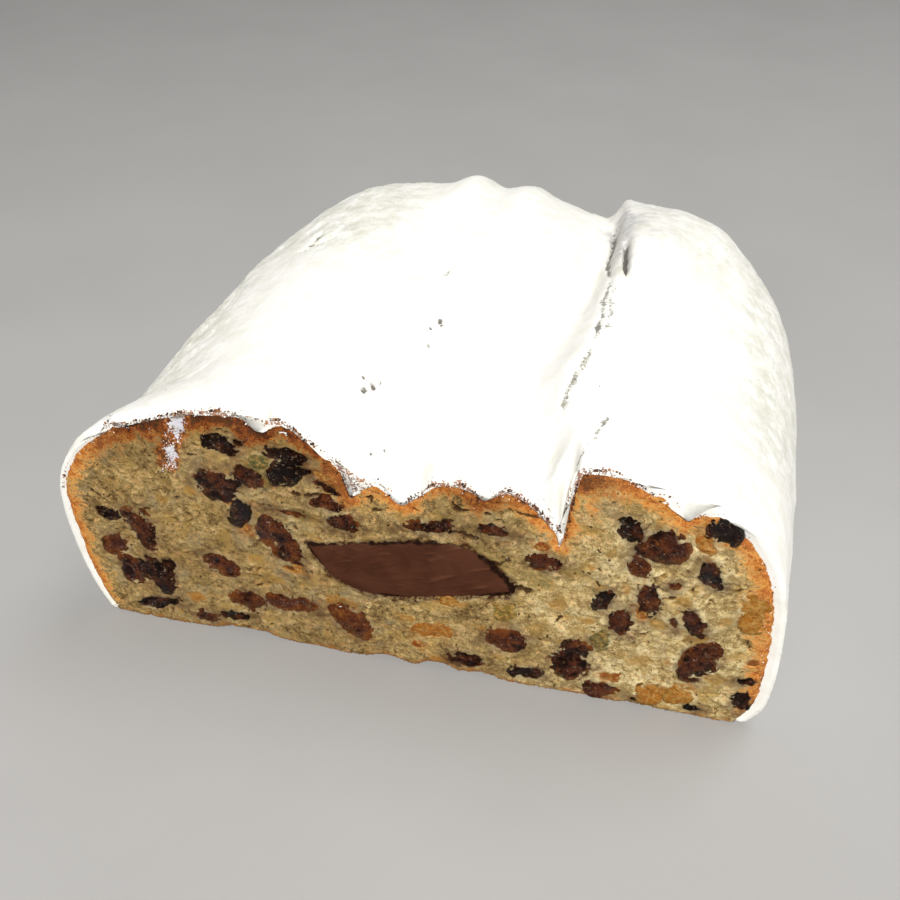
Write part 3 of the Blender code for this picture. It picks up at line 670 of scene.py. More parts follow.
def build_crust():
    n_round, n_long = 380, 100
    ts = rear_close(along(n_long, 0.45, LENGTH))
    ts[-1] = 1.0
    rows = [resample(crust_line(float(t)), n_round) for t in ts]
    g = np.stack(rows, 1)                                    # round x along x 3
    nrm = normals_of(g)
    fade = np.clip((1.0 - ts) / 0.06, 0, 1)[None, :]
    bumps = (0.32 * fbm(g, 2.4, 3, 80) + 0.35 * fbm(g, 7.0, 2, 81)) * fade
    bumps = bumps * smooth(0.5, 4.0, g[..., 2]) + 0.45 * np.exp(-(g[..., 1] / 12.0) ** 2) * smooth(0.5, 4.0, g[..., 2])
    g = g - nrm * bumps[..., None] * np.sign((nrm * (g - np.array([0, 0, 20.0]))).sum(-1).mean())
    gx_, gy_ = g[..., 0], g[..., 1]
    low = (1.2 + 4.6 * smooth(50.0, 100.0, gy_)) * bell(gx_, groove_line(gy_) + 0.8, 3.4) * smooth(8.0, 40.0, gy_)
    low = low + 1.6 * bell(gx_, groove_line(gy_) - 2.0, 6.0) * smooth(60.0, 110.0, gy_)
    for sx, sy, ln, w, d, head in SLITS:
        low = low + 0.9 * d * np.exp(-((gx_ - sx) ** 2 + (gy_ - sy) ** 2) / (0.6 * ln) ** 2)
    g[..., 2] -= low * smooth(28.0, 38.0, g[..., 2]) * fade
    g[..., 2] += np.minimum(settle(gx_, gy_), 0.0) * smooth(20.0, 34.0, g[..., 2]) * fade
    g[:, 0, 1] = 0.75
    g[:, :, 1] = np.maximum(g[:, :, 1], 0.75)
    g[..., 2] = np.maximum(g[..., 2], 0.05)
    nv = n_long
    verts = g.reshape(-1, 3)
    faces = grid_quads(n_round, n_long)
    # the underside: from foot to foot, slightly uneven
    m = 46
    w = np.linspace(0.0, 1.0, m)[:, None, None]
    base = g[0][None] * (1 - w) + g[-1][None] * w
    base[..., 2] = 0.05 + 0.25 * np.abs(fbm(base * np.array([1, 1, 0]), 7.0, 3, 84)) * np.sin(math.pi * w[..., 0]) \
        + hollow(base[..., 0], base[..., 1])
    start = len(verts)
    verts = np.concatenate([verts, base.reshape(-1, 3)])
    faces = np.concatenate([faces, grid_quads(m, n_long, start, flip=True)])
    obj = make_mesh("crust_body", world(verts), faces)
    bm = bmesh.new(); bm.from_mesh(obj.data)
    bmesh.ops.remove_doubles(bm, verts=bm.verts, dist=1e-6)
    bmesh.ops.recalc_face_normals(bm, faces=bm.faces)
    bm.to_mesh(obj.data); bm.free()
    return obj


# ================================================================ 3 icing sugar
# swells and dips across the crown towards the rear: x, half width, height
REAR_SWELLS = [(-37.0, 7.0, 1.2), (-8.5, 5.0, 2.2), (-1.0, 4.0, -1.6), (13.0, 4.0, -2.2), (19.5, 4.6, -3.0),
               (23.5, 2.5, 1.4), (28.0, 4.2, 2.8), (32.0, 3.0, -1.2), (37.0, 5.0, -1.7), (53.0, 7.0, 2.4)]


def settle(x, y):
    """Gentle rise and fall of the cover towards the rear and on the left shoulder, mm upwards."""
    r = smooth(72.0, 102.0, y)
    z = 3.2 * smooth(5.0, 15.0, y) * (1.0 - smooth(40.0, 66.0, y)) * bell(x, fold_lines(y)[1] - 3.2, 3.6)
    for cx, w, h in REAR_SWELLS:
        z = z + h * r * bell(x, cx, w)
    return z - 1.5 * bell(x, -57.0, 12.0) * smooth(3.0, 18.0, y) * (1.0 - smooth(20.0, 44.0, y))


def sugar_fields(g):
    x, y, z = g[..., 0], g[..., 1], g[..., 2]
    top = smooth(30.0, 40.0, z)
    drop = np.zeros_like(x); thin_cover_and_shade = np.zeros_like(x)
    q = np.stack([x, y, 0 * x], -1)
    jag = 0.55 * noise(q, 2.2, 90) + 0.35 * noise(q, 0.9, 91)
    for sx, sy, ln, w, d, head in SLITS:
        a = math.radians(head)
        dx, dy = x - sx, y - sy
        along_ = dx * math.sin(a) + dy * math.cos(a)
        across = dx * math.cos(a) - dy * math.sin(a) + jag * 0.6
        m = np.exp(-np.abs(across / (w * 0.55)) ** 2.5 - np.abs(along_ / (ln * 0.5)) ** 4)
        drop += d * m; thin_cover_and_shade = np.maximum(thin_cover_and_shade, m)
    line = groove_line(y) + 0.8 * noise(q * np.array([0, 1, 0]), 9.0, 92) * smooth(50, 70, y) + 0.30 * jag
    strength = smooth(54.0, 66.0, y)
    across = x - line
    slot = np.exp(-np.abs(across / (0.55 + 0.35 * smooth(70, 100, y))) ** 2.2) * (1.0 - smooth(94.0, 104.0, y)) * strength
    drop += (1.0 + 2.0 * smooth(60.0, 100.0, y)) * slot
    thin_cover_and_shade = np.maximum(thin_cover_and_shade, slot * 0.85)
    second = x - (31.8 - 0.05 * (y - 59.0)) + 0.35 * jag           # the dark line beside it towards the rear
    s2 = np.exp(-np.abs(second / (0.40 + 0.26 * smooth(58, 66, y))) ** 2) * smooth(57, 64, y) * (1 - smooth(72, 82, y))
    drop += 2.8 * s2; thin_cover_and_shade = np.maximum(thin_cover_and_shade, 1.1 * s2)
    # thin broken seams: how far each point lies from one, in mm
    stop = lambda a, b: 3.0 * (1.0 - smooth(a, a + 2.0, y)) + 3.0 * smooth(b - 2.0, b, y)
    seam = np.abs(across) + stop(12.0, 60.0)
    seam = np.minimum(seam, np.abs(x - line - 1.3 - 0.4 * jag) + 0.25 + stop(36.0, 56.0))
    third = x - np.interp(y, [0, 3, 6, 9, 12, 30], [28.2, 29.4, 30.6, 31.5, 32.2, 34.0])            # a faint crack by the right lobe
    seam = np.minimum(seam, np.abs(third) + 0.15 + stop(0.0, 14.0))
    seam = np.where(z > 30.0, seam, 3.0)
    low = np.exp(-(np.abs(across) / 0.8) ** 2) * smooth(12, 16, y) * (1 - smooth(52, 60, y))
    drop += 0.45 * low * smooth(-0.2, 0.3, noise(q, 3.0, 94))
    # soft lumps on the left shoulder, where the cover is uneven
    left = smooth(-30.0, -50.0, x + 0.10 * y) * smooth(4.0, 16.0, y)
    left = np.maximum(left, 0.85 * smooth(-10.0, -26.0, x) * smooth(48.0, 72.0, y))
    rear = smooth(96.0, 120.0, y)
    right = smooth(50.0, 62.0, x)
    wg = g + 2.2 * np.stack([noise(g, 7.0, 140), noise(g, 7.0, 141), noise(g, 7.0, 142)], -1)
    lump = fbm(wg, 8.5, 4, 95, 0.58)
    patch = smooth(-0.25, 0.35, noise(g, 15.0, 143))
    soft = (1.05 * left * (0.35 + 0.65 * patch) + 0.40 * rear + 0.25 * right + 0.16) * lump
    soft -= 0.42 * left * patch * smooth(0.18, 0.42, fbm(wg, 3.0, 2, 96))
    powder = 0.075 * fbm(g, 1.3, 2, 97) + 0.05 * noise(g, 0.6, 98)
    shade = bell(x, line + 2.2, 2.4) * smooth(60, 72, y) * (1 - smooth(92, 108, y)) + bell(x, 27.6, 2.4) * bell(y, 95.0, 5.0)
    shade = shade + 0.55 * bell(x, 36.0, 7.0) * smooth(72, 88, y) * smooth(-0.1, 0.35, noise(g, 3.0, 144))
    # painted shade: grey mottling where the cover turns away from the lamps, on the shoulders, the right flank and the
    # rear, and down in the groove; returned as edge and stored as the 'left' attribute
    edge = np.maximum(np.maximum(left, 0.75 * rear), np.maximum(0.8 * right * smooth(8.0, 30.0, y), 0.6 * smooth(20.0, 34.0, x) * smooth(60.0, 84.0, y)))
    edge = edge * (0.30 + 0.70 * smooth(20.0, 42.0, z)) * (1.0 - 0.5 * smooth(112.0, 128.0, y))
    edge = np.maximum(edge, 1.0 * bell(x, line + 1.7, 1.7) * smooth(57.0, 63.0, y) * (1.0 - smooth(86.0, 98.0, y)))
    return soft + powder, drop * top, thin_cover_and_shade * top, edge, np.clip(shade, 0, 1) * top, np.clip(seam, 0, 3)


def build_sugar():
    n_round, n_long = 620, 142
    total = LENGTH + SUGAR
    ts = rear_close(along(n_long, 0.40, total))
    ts[-1] = 1.0
    rows, under = [], []
    for t in ts:
        s = section(float(t), True)
        s[:, 0] += 0.8 * np.exp(-(s[:, 1] / 30.0) ** 2) * smooth(45.0, 60.0, s[:, 0]) * smooth(60.0, 40.0, s[:, 2])
        s = resample(lean(s), n_round)
        c = resample(crust_line(float(t)), n_round)
        rows.append(s); under.append(c)
    g = np.stack(rows, 1); c = np.stack(under, 1)
    # near the cut the cover follows the scallops a little
    g[..., 2] += smooth(30.0, 42.0, g[..., 2]) * 0.30 * np.maximum(scallop(g[..., 0], g[..., 1] * 2.2), -4.0)
    nrm = normals_of(g)
    if (nrm[:, :, 2].mean()) < 0:
        nrm = -nrm
    g[..., 2] += settle(g[..., 0], g[..., 1]) * smooth(20.0, 34.0, g[..., 2]) * np.clip((1.0 - ts) / 0.06, 0, 1)[None, :]
    lift, drop, thin_cover_and_shade, left, shade, seam = sugar_fields(g)
    fade = np.clip((1.0 - ts) / 0.05, 0, 1)[None, :]
    y = g[..., 1]
    # by the knife the powder is brushed thin, so crust shows through in specks
    q3 = g
    spot = 0.50 * noise(q3, 1.3, 100) + 0.30 * noise(q3, 0.7, 101) + 0.35 * noise(q3, 3.4, 102)
    dip = smooth(0.3, 2.2, -scallop(q3[..., 0], 0.0 * y)) * smooth(30.0, 38.0, q3[..., 2])
    reach = 1.55 + 1.3 * noise(q3 * np.array([1, 0, 0]), 6.0, 103) + 0.9 * noise(q3, 1.6, 104) + 3.6 * dip
    brushed = (1.0 - smooth(0.10, 1.0, y / np.maximum(reach, 0.55))) * np.maximum(brush_zone(q3[..., 0]), dip)
    base = g.copy()
    for j in range(n_long):
        if y[:, j].min() > 9.0:
            break
        fine_line = crust_line(float(ts[j]))
        _, k = to_line(fine_line[:, [0, 2]], g[:, j, 0], g[:, j, 2])
        k = np.round(box_blur(k.astype(float)[:, None], 4, 0)[:, 0]).astype(int)
        crown = fine_line[fine_line[:, 2] > 24.0]
        order = np.argsort(crown[:, 0])
        above = np.interp(g[:, j, 0], crown[order, 0], crown[order, 2])
        w = smooth(33.0, 42.0, g[:, j, 2]) * smooth(62.0, 56.0, np.abs(g[:, j, 0]))
        base[:, j, 0] = fine_line[k, 0] * (1 - w) + g[:, j, 0] * w
        base[:, j, 2] = fine_line[k, 2] * (1 - w) + above * w
    toward = np.clip(brushed, 0, 1)
    for _ in range(2):
        toward = box_blur(toward, 3, 0)
    toward = toward[..., None]
    g2 = g * (1 - toward) + (base + nrm * (0.20 + 0.34 * spot)[..., None]) * toward
    g2 = g2 + nrm * (lift * fade * (1 - brushed))[..., None]
    g2[..., 2] -= drop * fade * (1 - brushed)
    g2[..., 1] = np.maximum(g2[..., 1], 0.05)
    g2[..., 2] = np.maximum(g2[..., 2], 0.25)
    # the foot hangs in an uneven hem just above the base
    foot_lines = 14
    for side in (0, 1):
        sl = slice(0, foot_lines) if side == 0 else slice(n_round - foot_lines, n_round)
        zlow = g2[sl, :, 2]
        hem = 1.6 + 1.3 * fbm(np.stack([y[sl] * 0, y[sl], zlow * 0], -1), 8.0, 3, 105 + side)
        k = np.linspace(0, 1, foot_lines)[:, None] if side == 0 else np.linspace(1, 0, foot_lines)[:, None]
        zref = g2[foot_lines if side == 0 else n_round - foot_lines - 1, :, 2][None]
        g2[sl, :, 2] = hem * (1 - k) + zref * k
    verts = g2.reshape(-1, 3)
    faces = grid_quads(n_round, n_long)
    thin_cover_and_shade_mask = np.maximum(thin_cover_and_shade, 0)
    # the front rim: turned down behind the crumb's edge
    rim = g2[:, 0].copy()
    tuck = c[:, 0].copy()
    inward = _centre - tuck[:, [0, 2]]
    inward /= np.linalg.norm(inward, axis=1, keepdims=True)
    tuck[:, [0, 2]] += 1.2 * inward
    tuck[:, 1] = 0.95
    mid = 0.5 * rim + 0.5 * c[:, 0]
    mid[:, 1] = 0.35
    start = len(verts)
    verts = np.concatenate([verts, tuck, mid])
    i = np.arange(n_round - 1)
    r0 = i * n_long
    fr = np.stack([start + n_round + i, start + n_round + i + 1, r0 + n_long, r0], -1)
    fb = np.stack([start + i, start + i + 1, start + n_round + i + 1, start + n_round + i], -1)
    faces = np.concatenate([faces, fr, fb])
    # and a hem turned inwards along the foot
    for side in (0, 1):
        row = g2[0] if side == 0 else g2[-1]
        inner = c[2].copy() if side == 0 else c[-3].copy()
        inner[:, 2] = row[:, 2] + 0.5
        inner[:, 0] += (-0.9 if side == 0 else 0.9)
        s0 = len(verts)
        verts = np.concatenate([verts, inner])
        j = np.arange(n_long - 1)
        a = (0 if side == 0 else (n_round - 1) * n_long) + j
        strip = np.stack([a, a + 1, s0 + j + 1, s0 + j], -1)
        faces = np.concatenate([faces, strip])
    n_extra = len(verts) - n_round * n_long
    obj = make_mesh("sugar_coat", world(verts), faces)
    pad = lambda a, v=0.0: np.concatenate([a.ravel(), np.full(n_extra, v)])
    add_value(obj, "thin_cover_and_shade", pad(thin_cover_and_shade_mask))
    # the 'left' attribute carries the cover's painted shade mask
    add_value(obj, "left", pad(left))
    add_value(obj, "shade", pad(shade))
    add_value(obj, "seam", pad(seam, 3.0))
    dusty = np.clip(brushed, 0, 1) * np.exp(-(y / 1.6) ** 2 * dip) * (1.0 - 0.80 * dip)
    at_rim = np.maximum(dusty[:, 0], 0.25 + 0.40 * brush_zone(g2[:, 0, 0]))
    add_value(obj, "brushed", np.concatenate([dusty.ravel(), at_rim, at_rim, np.zeros(n_extra - 2 * n_round)]))
    bm = bmesh.new(); bm.from_mesh(obj.data)
    bmesh.ops.recalc_face_normals(bm, faces=bm.faces)
    bm.to_mesh(obj.data); bm.free()
    return obj, g2, nrm


# ================================================================ 4 the nougat core
def build_core():
    n_a, n_s = 460, 34
    edge, mid = core_outline(n_a)
    ragged = 0.75 * fbm(flat(edge[:, 0], edge[:, 1]), 3.0, 3, 110) + 0.25 * noise(flat(edge[:, 0], edge[:, 1]), 0.8, 111)
    out = edge - np.array(CORE_CENTRE)
    out /= np.linalg.norm(out, axis=1, keepdims=True)
    edge = edge + out * (ragged + 0.15)[:, None]
    s = np.linspace(0.0, 1.0, n_s) ** 0.8
    face = mid[None] + (edge - mid)[None] * s[:, None, None]
    x, z = face[..., 0], face[..., 1]
    p = flat(x, z)
    a = math.radians(24.0)
    run = x * math.cos(a) + z * math.sin(a)
    over = -x * math.sin(a) + z * math.cos(a)
    drag = np.stack([run * 0.14, over, x * 0], -1)
    smear = noise(drag, 0.9, 112) * smooth(0.0, 0.5, noise(p, 6.0, 113) + 0.25)
    y = 0.22 - 0.35 * np.sqrt(np.clip(1 - s, 0, 1))[:, None] + 0.14 * fbm(p, 5.0, 2, 114) - 0.10 * smear - 0.03 * noise(p, 0.5, 115)
    y = y + 0.55 * smooth(0.93, 1.0, s)[:, None]
    rings = [np.stack([x[k], y[k], z[k]], -1) for k in range(n_s)]
    # then back through the loaf
    for frac, scale in [(0.012, 1.0), (0.05, 1.0), (0.2, 1.0), (0.35, 1.0), (0.5, 1.0), (0.7, 1.0), (0.82, 0.97),
                        (0.9, 0.93), (0.95, 0.82), (0.975, 0.72), (0.99, 0.55), (1.0, 0.40)]:
        yy = frac * CORE_LENGTH
        ring = mid + (edge - mid) * scale
        cx = CORE_CENTRE[0] + (ring[:, 0] - CORE_CENTRE[0]) * scale
        rings.append(np.stack([cx + SKEW * yy, np.full(n_a, yy), ring[:, 1]], -1))
    end = rings[-1].mean(0)
    rings.append(rings[-1] * 0.02 + end * 0.98)
    g = np.stack(rings, 0)
    n = g.shape[0]
    verts = g.reshape(-1, 3)
    i, j = np.meshgrid(np.arange(n - 1), np.arange(n_a), indexing="ij")
    q = np.stack([i * n_a + j, i * n_a + (j + 1) % n_a, (i + 1) * n_a + (j + 1) % n_a, (i + 1) * n_a + j], -1).reshape(-1, 4)
    obj = make_mesh("nougat_filling", world(verts), q)
    dist, _ = to_line(edge, x, z)
    wide = 0.55 + 2.0 * np.clip(0.40 + 1.3 * noise(p, 7.0, 116), 0.0, 1.0)
    rim = np.ones((n, n_a)); rim[:n_s] = 1.0 - smooth(0.15, 1.0, dist / wide)
    sm = np.zeros((n, n_a)); sm[:n_s] = smear
    add_value(obj, "rim", rim); add_value(obj, "smear", sm)
    bm = bmesh.new(); bm.from_mesh(obj.data)
    bmesh.ops.remove_doubles(bm, verts=bm.verts, dist=2e-6)
    bmesh.ops.recalc_face_normals(bm, faces=bm.faces)
    bm.to_mesh(obj.data); bm.free()
    return obj


# ================================================================ 5 fruit
def fruit_points(piece, seed, n_u, n_v, wrinkle, grow, proud):
    th = np.linspace(0.0, 2.0 * math.pi, n_u, endpoint=False)
    ph = np.linspace(0.0, math.pi, n_v)
    t, p = np.meshgrid(th, ph, indexing="ij")
    d = np.stack([np.sin(p) * np.cos(t), -np.cos(p), np.sin(p) * np.sin(t)], -1)     # -Y faces the viewer
    a, b = piece[2] / 2 * grow, piece[3] / 2 * grow
    flatten = np.sign(d) * np.abs(d) ** np.array([0.85, 1.0, 0.85])
    front = 0.16 + 0.07 * min(a, b)
    deep = np.where(d[..., 1] < 0, -front * np.abs(d[..., 1]) ** 0.6, (0.5 * piece[3] + 1.0) * d[..., 1])
    pos = np.stack([flatten[..., 0] * a, deep, flatten[..., 2] * b], -1)
    off = pos + np.array([seed * 13.7, seed * 5.1, seed * 7.9])
    size = min(a, b)
    big = 0.30 * size * noise(off, 1.10 * size + 0.5, 120) * min(1.0, 0.45 + 0.6 * wrinkle)
    bend = 0.5 * noise(off, 2.4, 124)[..., None]
    fold = (0.36 - np.abs(noise(off + bend, 1.7, 121))) * 0.62 * wrinkle * min(1.0, size / 2.0)
    finer = (0.36 - np.abs(noise(off + bend, 0.85, 122))) * 0.36 * wrinkle
    tiny = 0.09 * noise(off, 0.42, 123) * wrinkle
    pos = pos + d * (big + fold + finer + tiny)[..., None]
    pos[..., 1] += proud
    ang = math.radians(piece[4])
    x = pos[..., 0] * math.cos(ang) - pos[..., 2] * math.sin(ang) + piece[0]
    z = pos[..., 0] * math.sin(ang) + pos[..., 2] * math.cos(ang) + piece[1]
    pos = np.stack([x, pos[..., 1], np.maximum(z, 0.25)], -1)
    i, j = np.meshgrid(np.arange(n_u), np.arange(n_v - 1), indexing="ij")
    q = np.stack([i * n_v + j, i * n_v + j + 1, ((i + 1) % n_u) * n_v + j + 1, ((i + 1) % n_u) * n_v + j], -1).reshape(-1, 4)
    crease = np.clip(-(fold / max(wrinkle, 0.01)) * 2.0 + 0.35, 0, 1)
    side = seed * 2.4
    clear = np.hypot(d[..., 0], d[..., 2]) * (0.35 + 0.65 * (d[..., 0] * math.cos(side) + d[..., 2] * math.sin(side))) + 0.5 * noise(off, 2.6, 125)
    return pos.reshape(-1, 3), q, crease.ravel(), np.clip(clear, 0, 1).ravel()


def build_fruit(name, pieces, wrinkle, grow, proud, n_u, n_v, seed0=0):
    verts, faces, tone, crease, clear = [], [], [], [], []
    base = 0
    for k, piece in enumerate(pieces):
        v, q, cr, cl = fruit_points(piece, k + 1 + seed0, n_u, n_v, wrinkle, grow, proud)
        verts.append(v); faces.append(q + base); base += len(v)
        tone.append(np.full(len(v), piece[5])); crease.append(cr); clear.append(cl)
    obj = make_mesh(name, world(np.concatenate(verts)), np.concatenate(faces))
    add_value(obj, "tone", np.concatenate(tone)); add_value(obj, "crease", np.concatenate(crease))
    add_value(obj, "clear", np.concatenate(clear))
    bm = bmesh.new(); bm.from_mesh(obj.data)
    bmesh.ops.remove_doubles(bm, verts=bm.verts, dist=1e-7)
    bmesh.ops.recalc_face_normals(bm, faces=bm.faces)
    bm.to_mesh(obj.data); bm.free()
    return obj


# ================================================================ 6 loose grains
def _ico():
    bm = bmesh.new()
    bmesh.ops.create_icosphere(bm, subdivisions=1, radius=1.0)
    v = np.array([x.co[:] for x in bm.verts]); f = np.array([[x.index for x in t.verts] for t in bm.faces])
    bm.free()
    return v, f


def build_grains(name, centres, sizes, seed, tone=None):
    """Many small rough lumps joined in one mesh; centres in mm."""
    rng = np.random.default_rng(seed)
    v0, f0 = _ico()
    n = len(centres)
    rot = rng.normal(size=(n, 4)); rot /= np.linalg.norm(rot, axis=1, keepdims=True)
    w, x, y, z = rot.T
    m = np.stack([np.stack([1 - 2 * (y * y + z * z), 2 * (x * y - z * w), 2 * (x * z + y * w)], -1),
                  np.stack([2 * (x * y + z * w), 1 - 2 * (x * x + z * z), 2 * (y * z - x * w)], -1),
                  np.stack([2 * (x * z - y * w), 2 * (y * z + x * w), 1 - 2 * (x * x + y * y)], -1)], 1)
    shape = rng.uniform(0.55, 1.15, (n, 3))
    rough = rng.uniform(0.72, 1.25, (n, len(v0), 1))
    pts = v0[None] * rough * shape[:, None]
    pts = np.einsum("nij,nkj->nki", m, pts) * np.asarray(sizes)[:, None, None] + np.asarray(centres)[:, None]
    pts[..., 2] = np.maximum(pts[..., 2], 0.06)
    faces = (f0[None] + (np.arange(n) * len(v0))[:, None, None]).reshape(-1, 3)
    obj = make_mesh(name, world(pts.reshape(-1, 3)), faces)
    t = rng.random(n) if tone is None else np.asarray(tone)
    add_value(obj, "tone", np.repeat(t, len(v0)))
    return obj


# ================================================================ materials
def lin(r, g, b):
    def f(c):
        c /= 255.0
        return c / 12.92 if c <= 0.04045 else ((c + 0.055) / 1.055) ** 2.4
    return (f(r), f(g), f(b), 1.0)


class Nodes:
    def __init__(self, name, roughness=0.8, **fixed):
        self.mat = bpy.data.materials.new(name)
        self.mat.use_nodes = True
        self.t = self.mat.node_tree
        self.bsdf = self.t.nodes["Principled BSDF"]
        self.bsdf.inputs["Roughness"].default_value = roughness
        for k, v in fixed.items():
            self.bsdf.inputs[k.replace("_", " ")].default_value = v
        self.coord = self.t.nodes.new("ShaderNodeTexCoord").outputs["Object"]

    def link(self, a, b):
        self.t.links.new(a, b)

    def value(self, v, socket):
        if isinstance(v, (int, float)):
            socket.default_value = v
        elif isinstance(v, tuple):
            socket.default_value = v
        else:
            self.link(v, socket)

    def attr(self, name):
        n = self.t.nodes.new("ShaderNodeAttribute")
        n.attribute_name = name
        return n.outputs["Fac"]

    def noise(self, mm, detail=3.0, rough=0.55, stretch=None, distortion=0.0):
        n = self.t.nodes.new("ShaderNodeTexNoise")
        n.inputs["Scale"].default_value = 1000.0 / mm
        n.inputs["Detail"].default_value = detail
        n.inputs["Roughness"].default_value = rough
        n.inputs["Distortion"].default_value = distortion
        src = self.coord
        if stretch:
            m = self.t.nodes.new("ShaderNodeMapping")
            m.inputs["Rotation"].default_value = stretch[1]
            m.inputs["Scale"].default_value = stretch[0]
            self.link(src, m.inputs["Vector"])
            src = m.outputs["Vector"]
        self.link(src, n.inputs["Vector"])
        return n.outputs["Fac"]

    def voronoi(self, mm, feature="F1", wobble=0.0):
        """Distance to scattered points in cell sizes; wobble in mm pulls the cells out of shape."""
        n = self.t.nodes.new("ShaderNodeTexVoronoi")
        n.feature = feature
        n.inputs["Scale"].default_value = 1000.0 / mm
        src = self.coord
        if wobble:
            w = self.t.nodes.new("ShaderNodeTexNoise")
            w.inputs["Scale"].default_value = 1000.0 / (0.9 * mm)
            self.link(src, w.inputs["Vector"])
            v = self.t.nodes.new("ShaderNodeVectorMath")
            v.operation = "MULTIPLY_ADD"
            self.link(w.outputs["Color"], v.inputs[0])
            v.inputs[1].default_value = (wobble * MM * 4.0,) * 3
            self.link(src, v.inputs[2])
            src = v.outputs["Vector"]
        self.link(src, n.inputs["Vector"])
        return n.outputs["Distance"]

    def math(self, op, a, b=0.0, clamp=False):
        n = self.t.nodes.new("ShaderNodeMath")
        n.operation = op
        n.use_clamp = clamp
        self.value(a, n.inputs[0])
        self.value(b, n.inputs[1])
        return n.outputs[0]

    def remap(self, v, lo, hi, a=0.0, b=1.0, soft=True):
        n = self.t.nodes.new("ShaderNodeMapRange")
        n.interpolation_type = "SMOOTHSTEP" if soft else "LINEAR"
        self.value(v, n.inputs["Value"])
        n.inputs["From Min"].default_value = lo
        n.inputs["From Max"].default_value = hi
        n.inputs["To Min"].default_value = a
        n.inputs["To Max"].default_value = b
        return n.outputs["Result"]

    def ramp(self, v, stops, mode="LINEAR"):
        n = self.t.nodes.new("ShaderNodeValToRGB")
        n.color_ramp.interpolation = mode
        el = n.color_ramp.elements
        while len(el) < len(stops):
            el.new(0.5)
        for e, (p, c) in zip(el, stops):
            e.position = p
            e.color = c
        self.value(v, n.inputs["Fac"])
        return n.outputs["Color"]

    def mix(self, f, a, b, blend="MIX"):
        n = self.t.nodes.new("ShaderNodeMix")
        n.data_type = "RGBA"
        n.blend_type = blend
        self.value(f, n.inputs["Factor"])
        self.value(a, n.inputs[6])
        self.value(b, n.inputs[7])
        return n.outputs[2]

    def bump(self, height, mm, strength=1.0, after=None):
        n = self.t.nodes.new("ShaderNodeBump")
        n.inputs["Strength"].default_value = strength
        n.inputs["Distance"].default_value = mm * MM
        self.link(height, n.inputs["Height"])
        if after:
            self.link(after, n.inputs["Normal"])
        return n.outputs["Normal"]

    def finish(self, colour, normal=None, roughness=None):
        self.link(colour, self.bsdf.inputs["Base Color"])
        if normal:
            self.link(normal, self.bsdf.inputs["Normal"])
        if roughness:
            self.link(roughness, self.bsdf.inputs["Roughness"])
        return self.mat


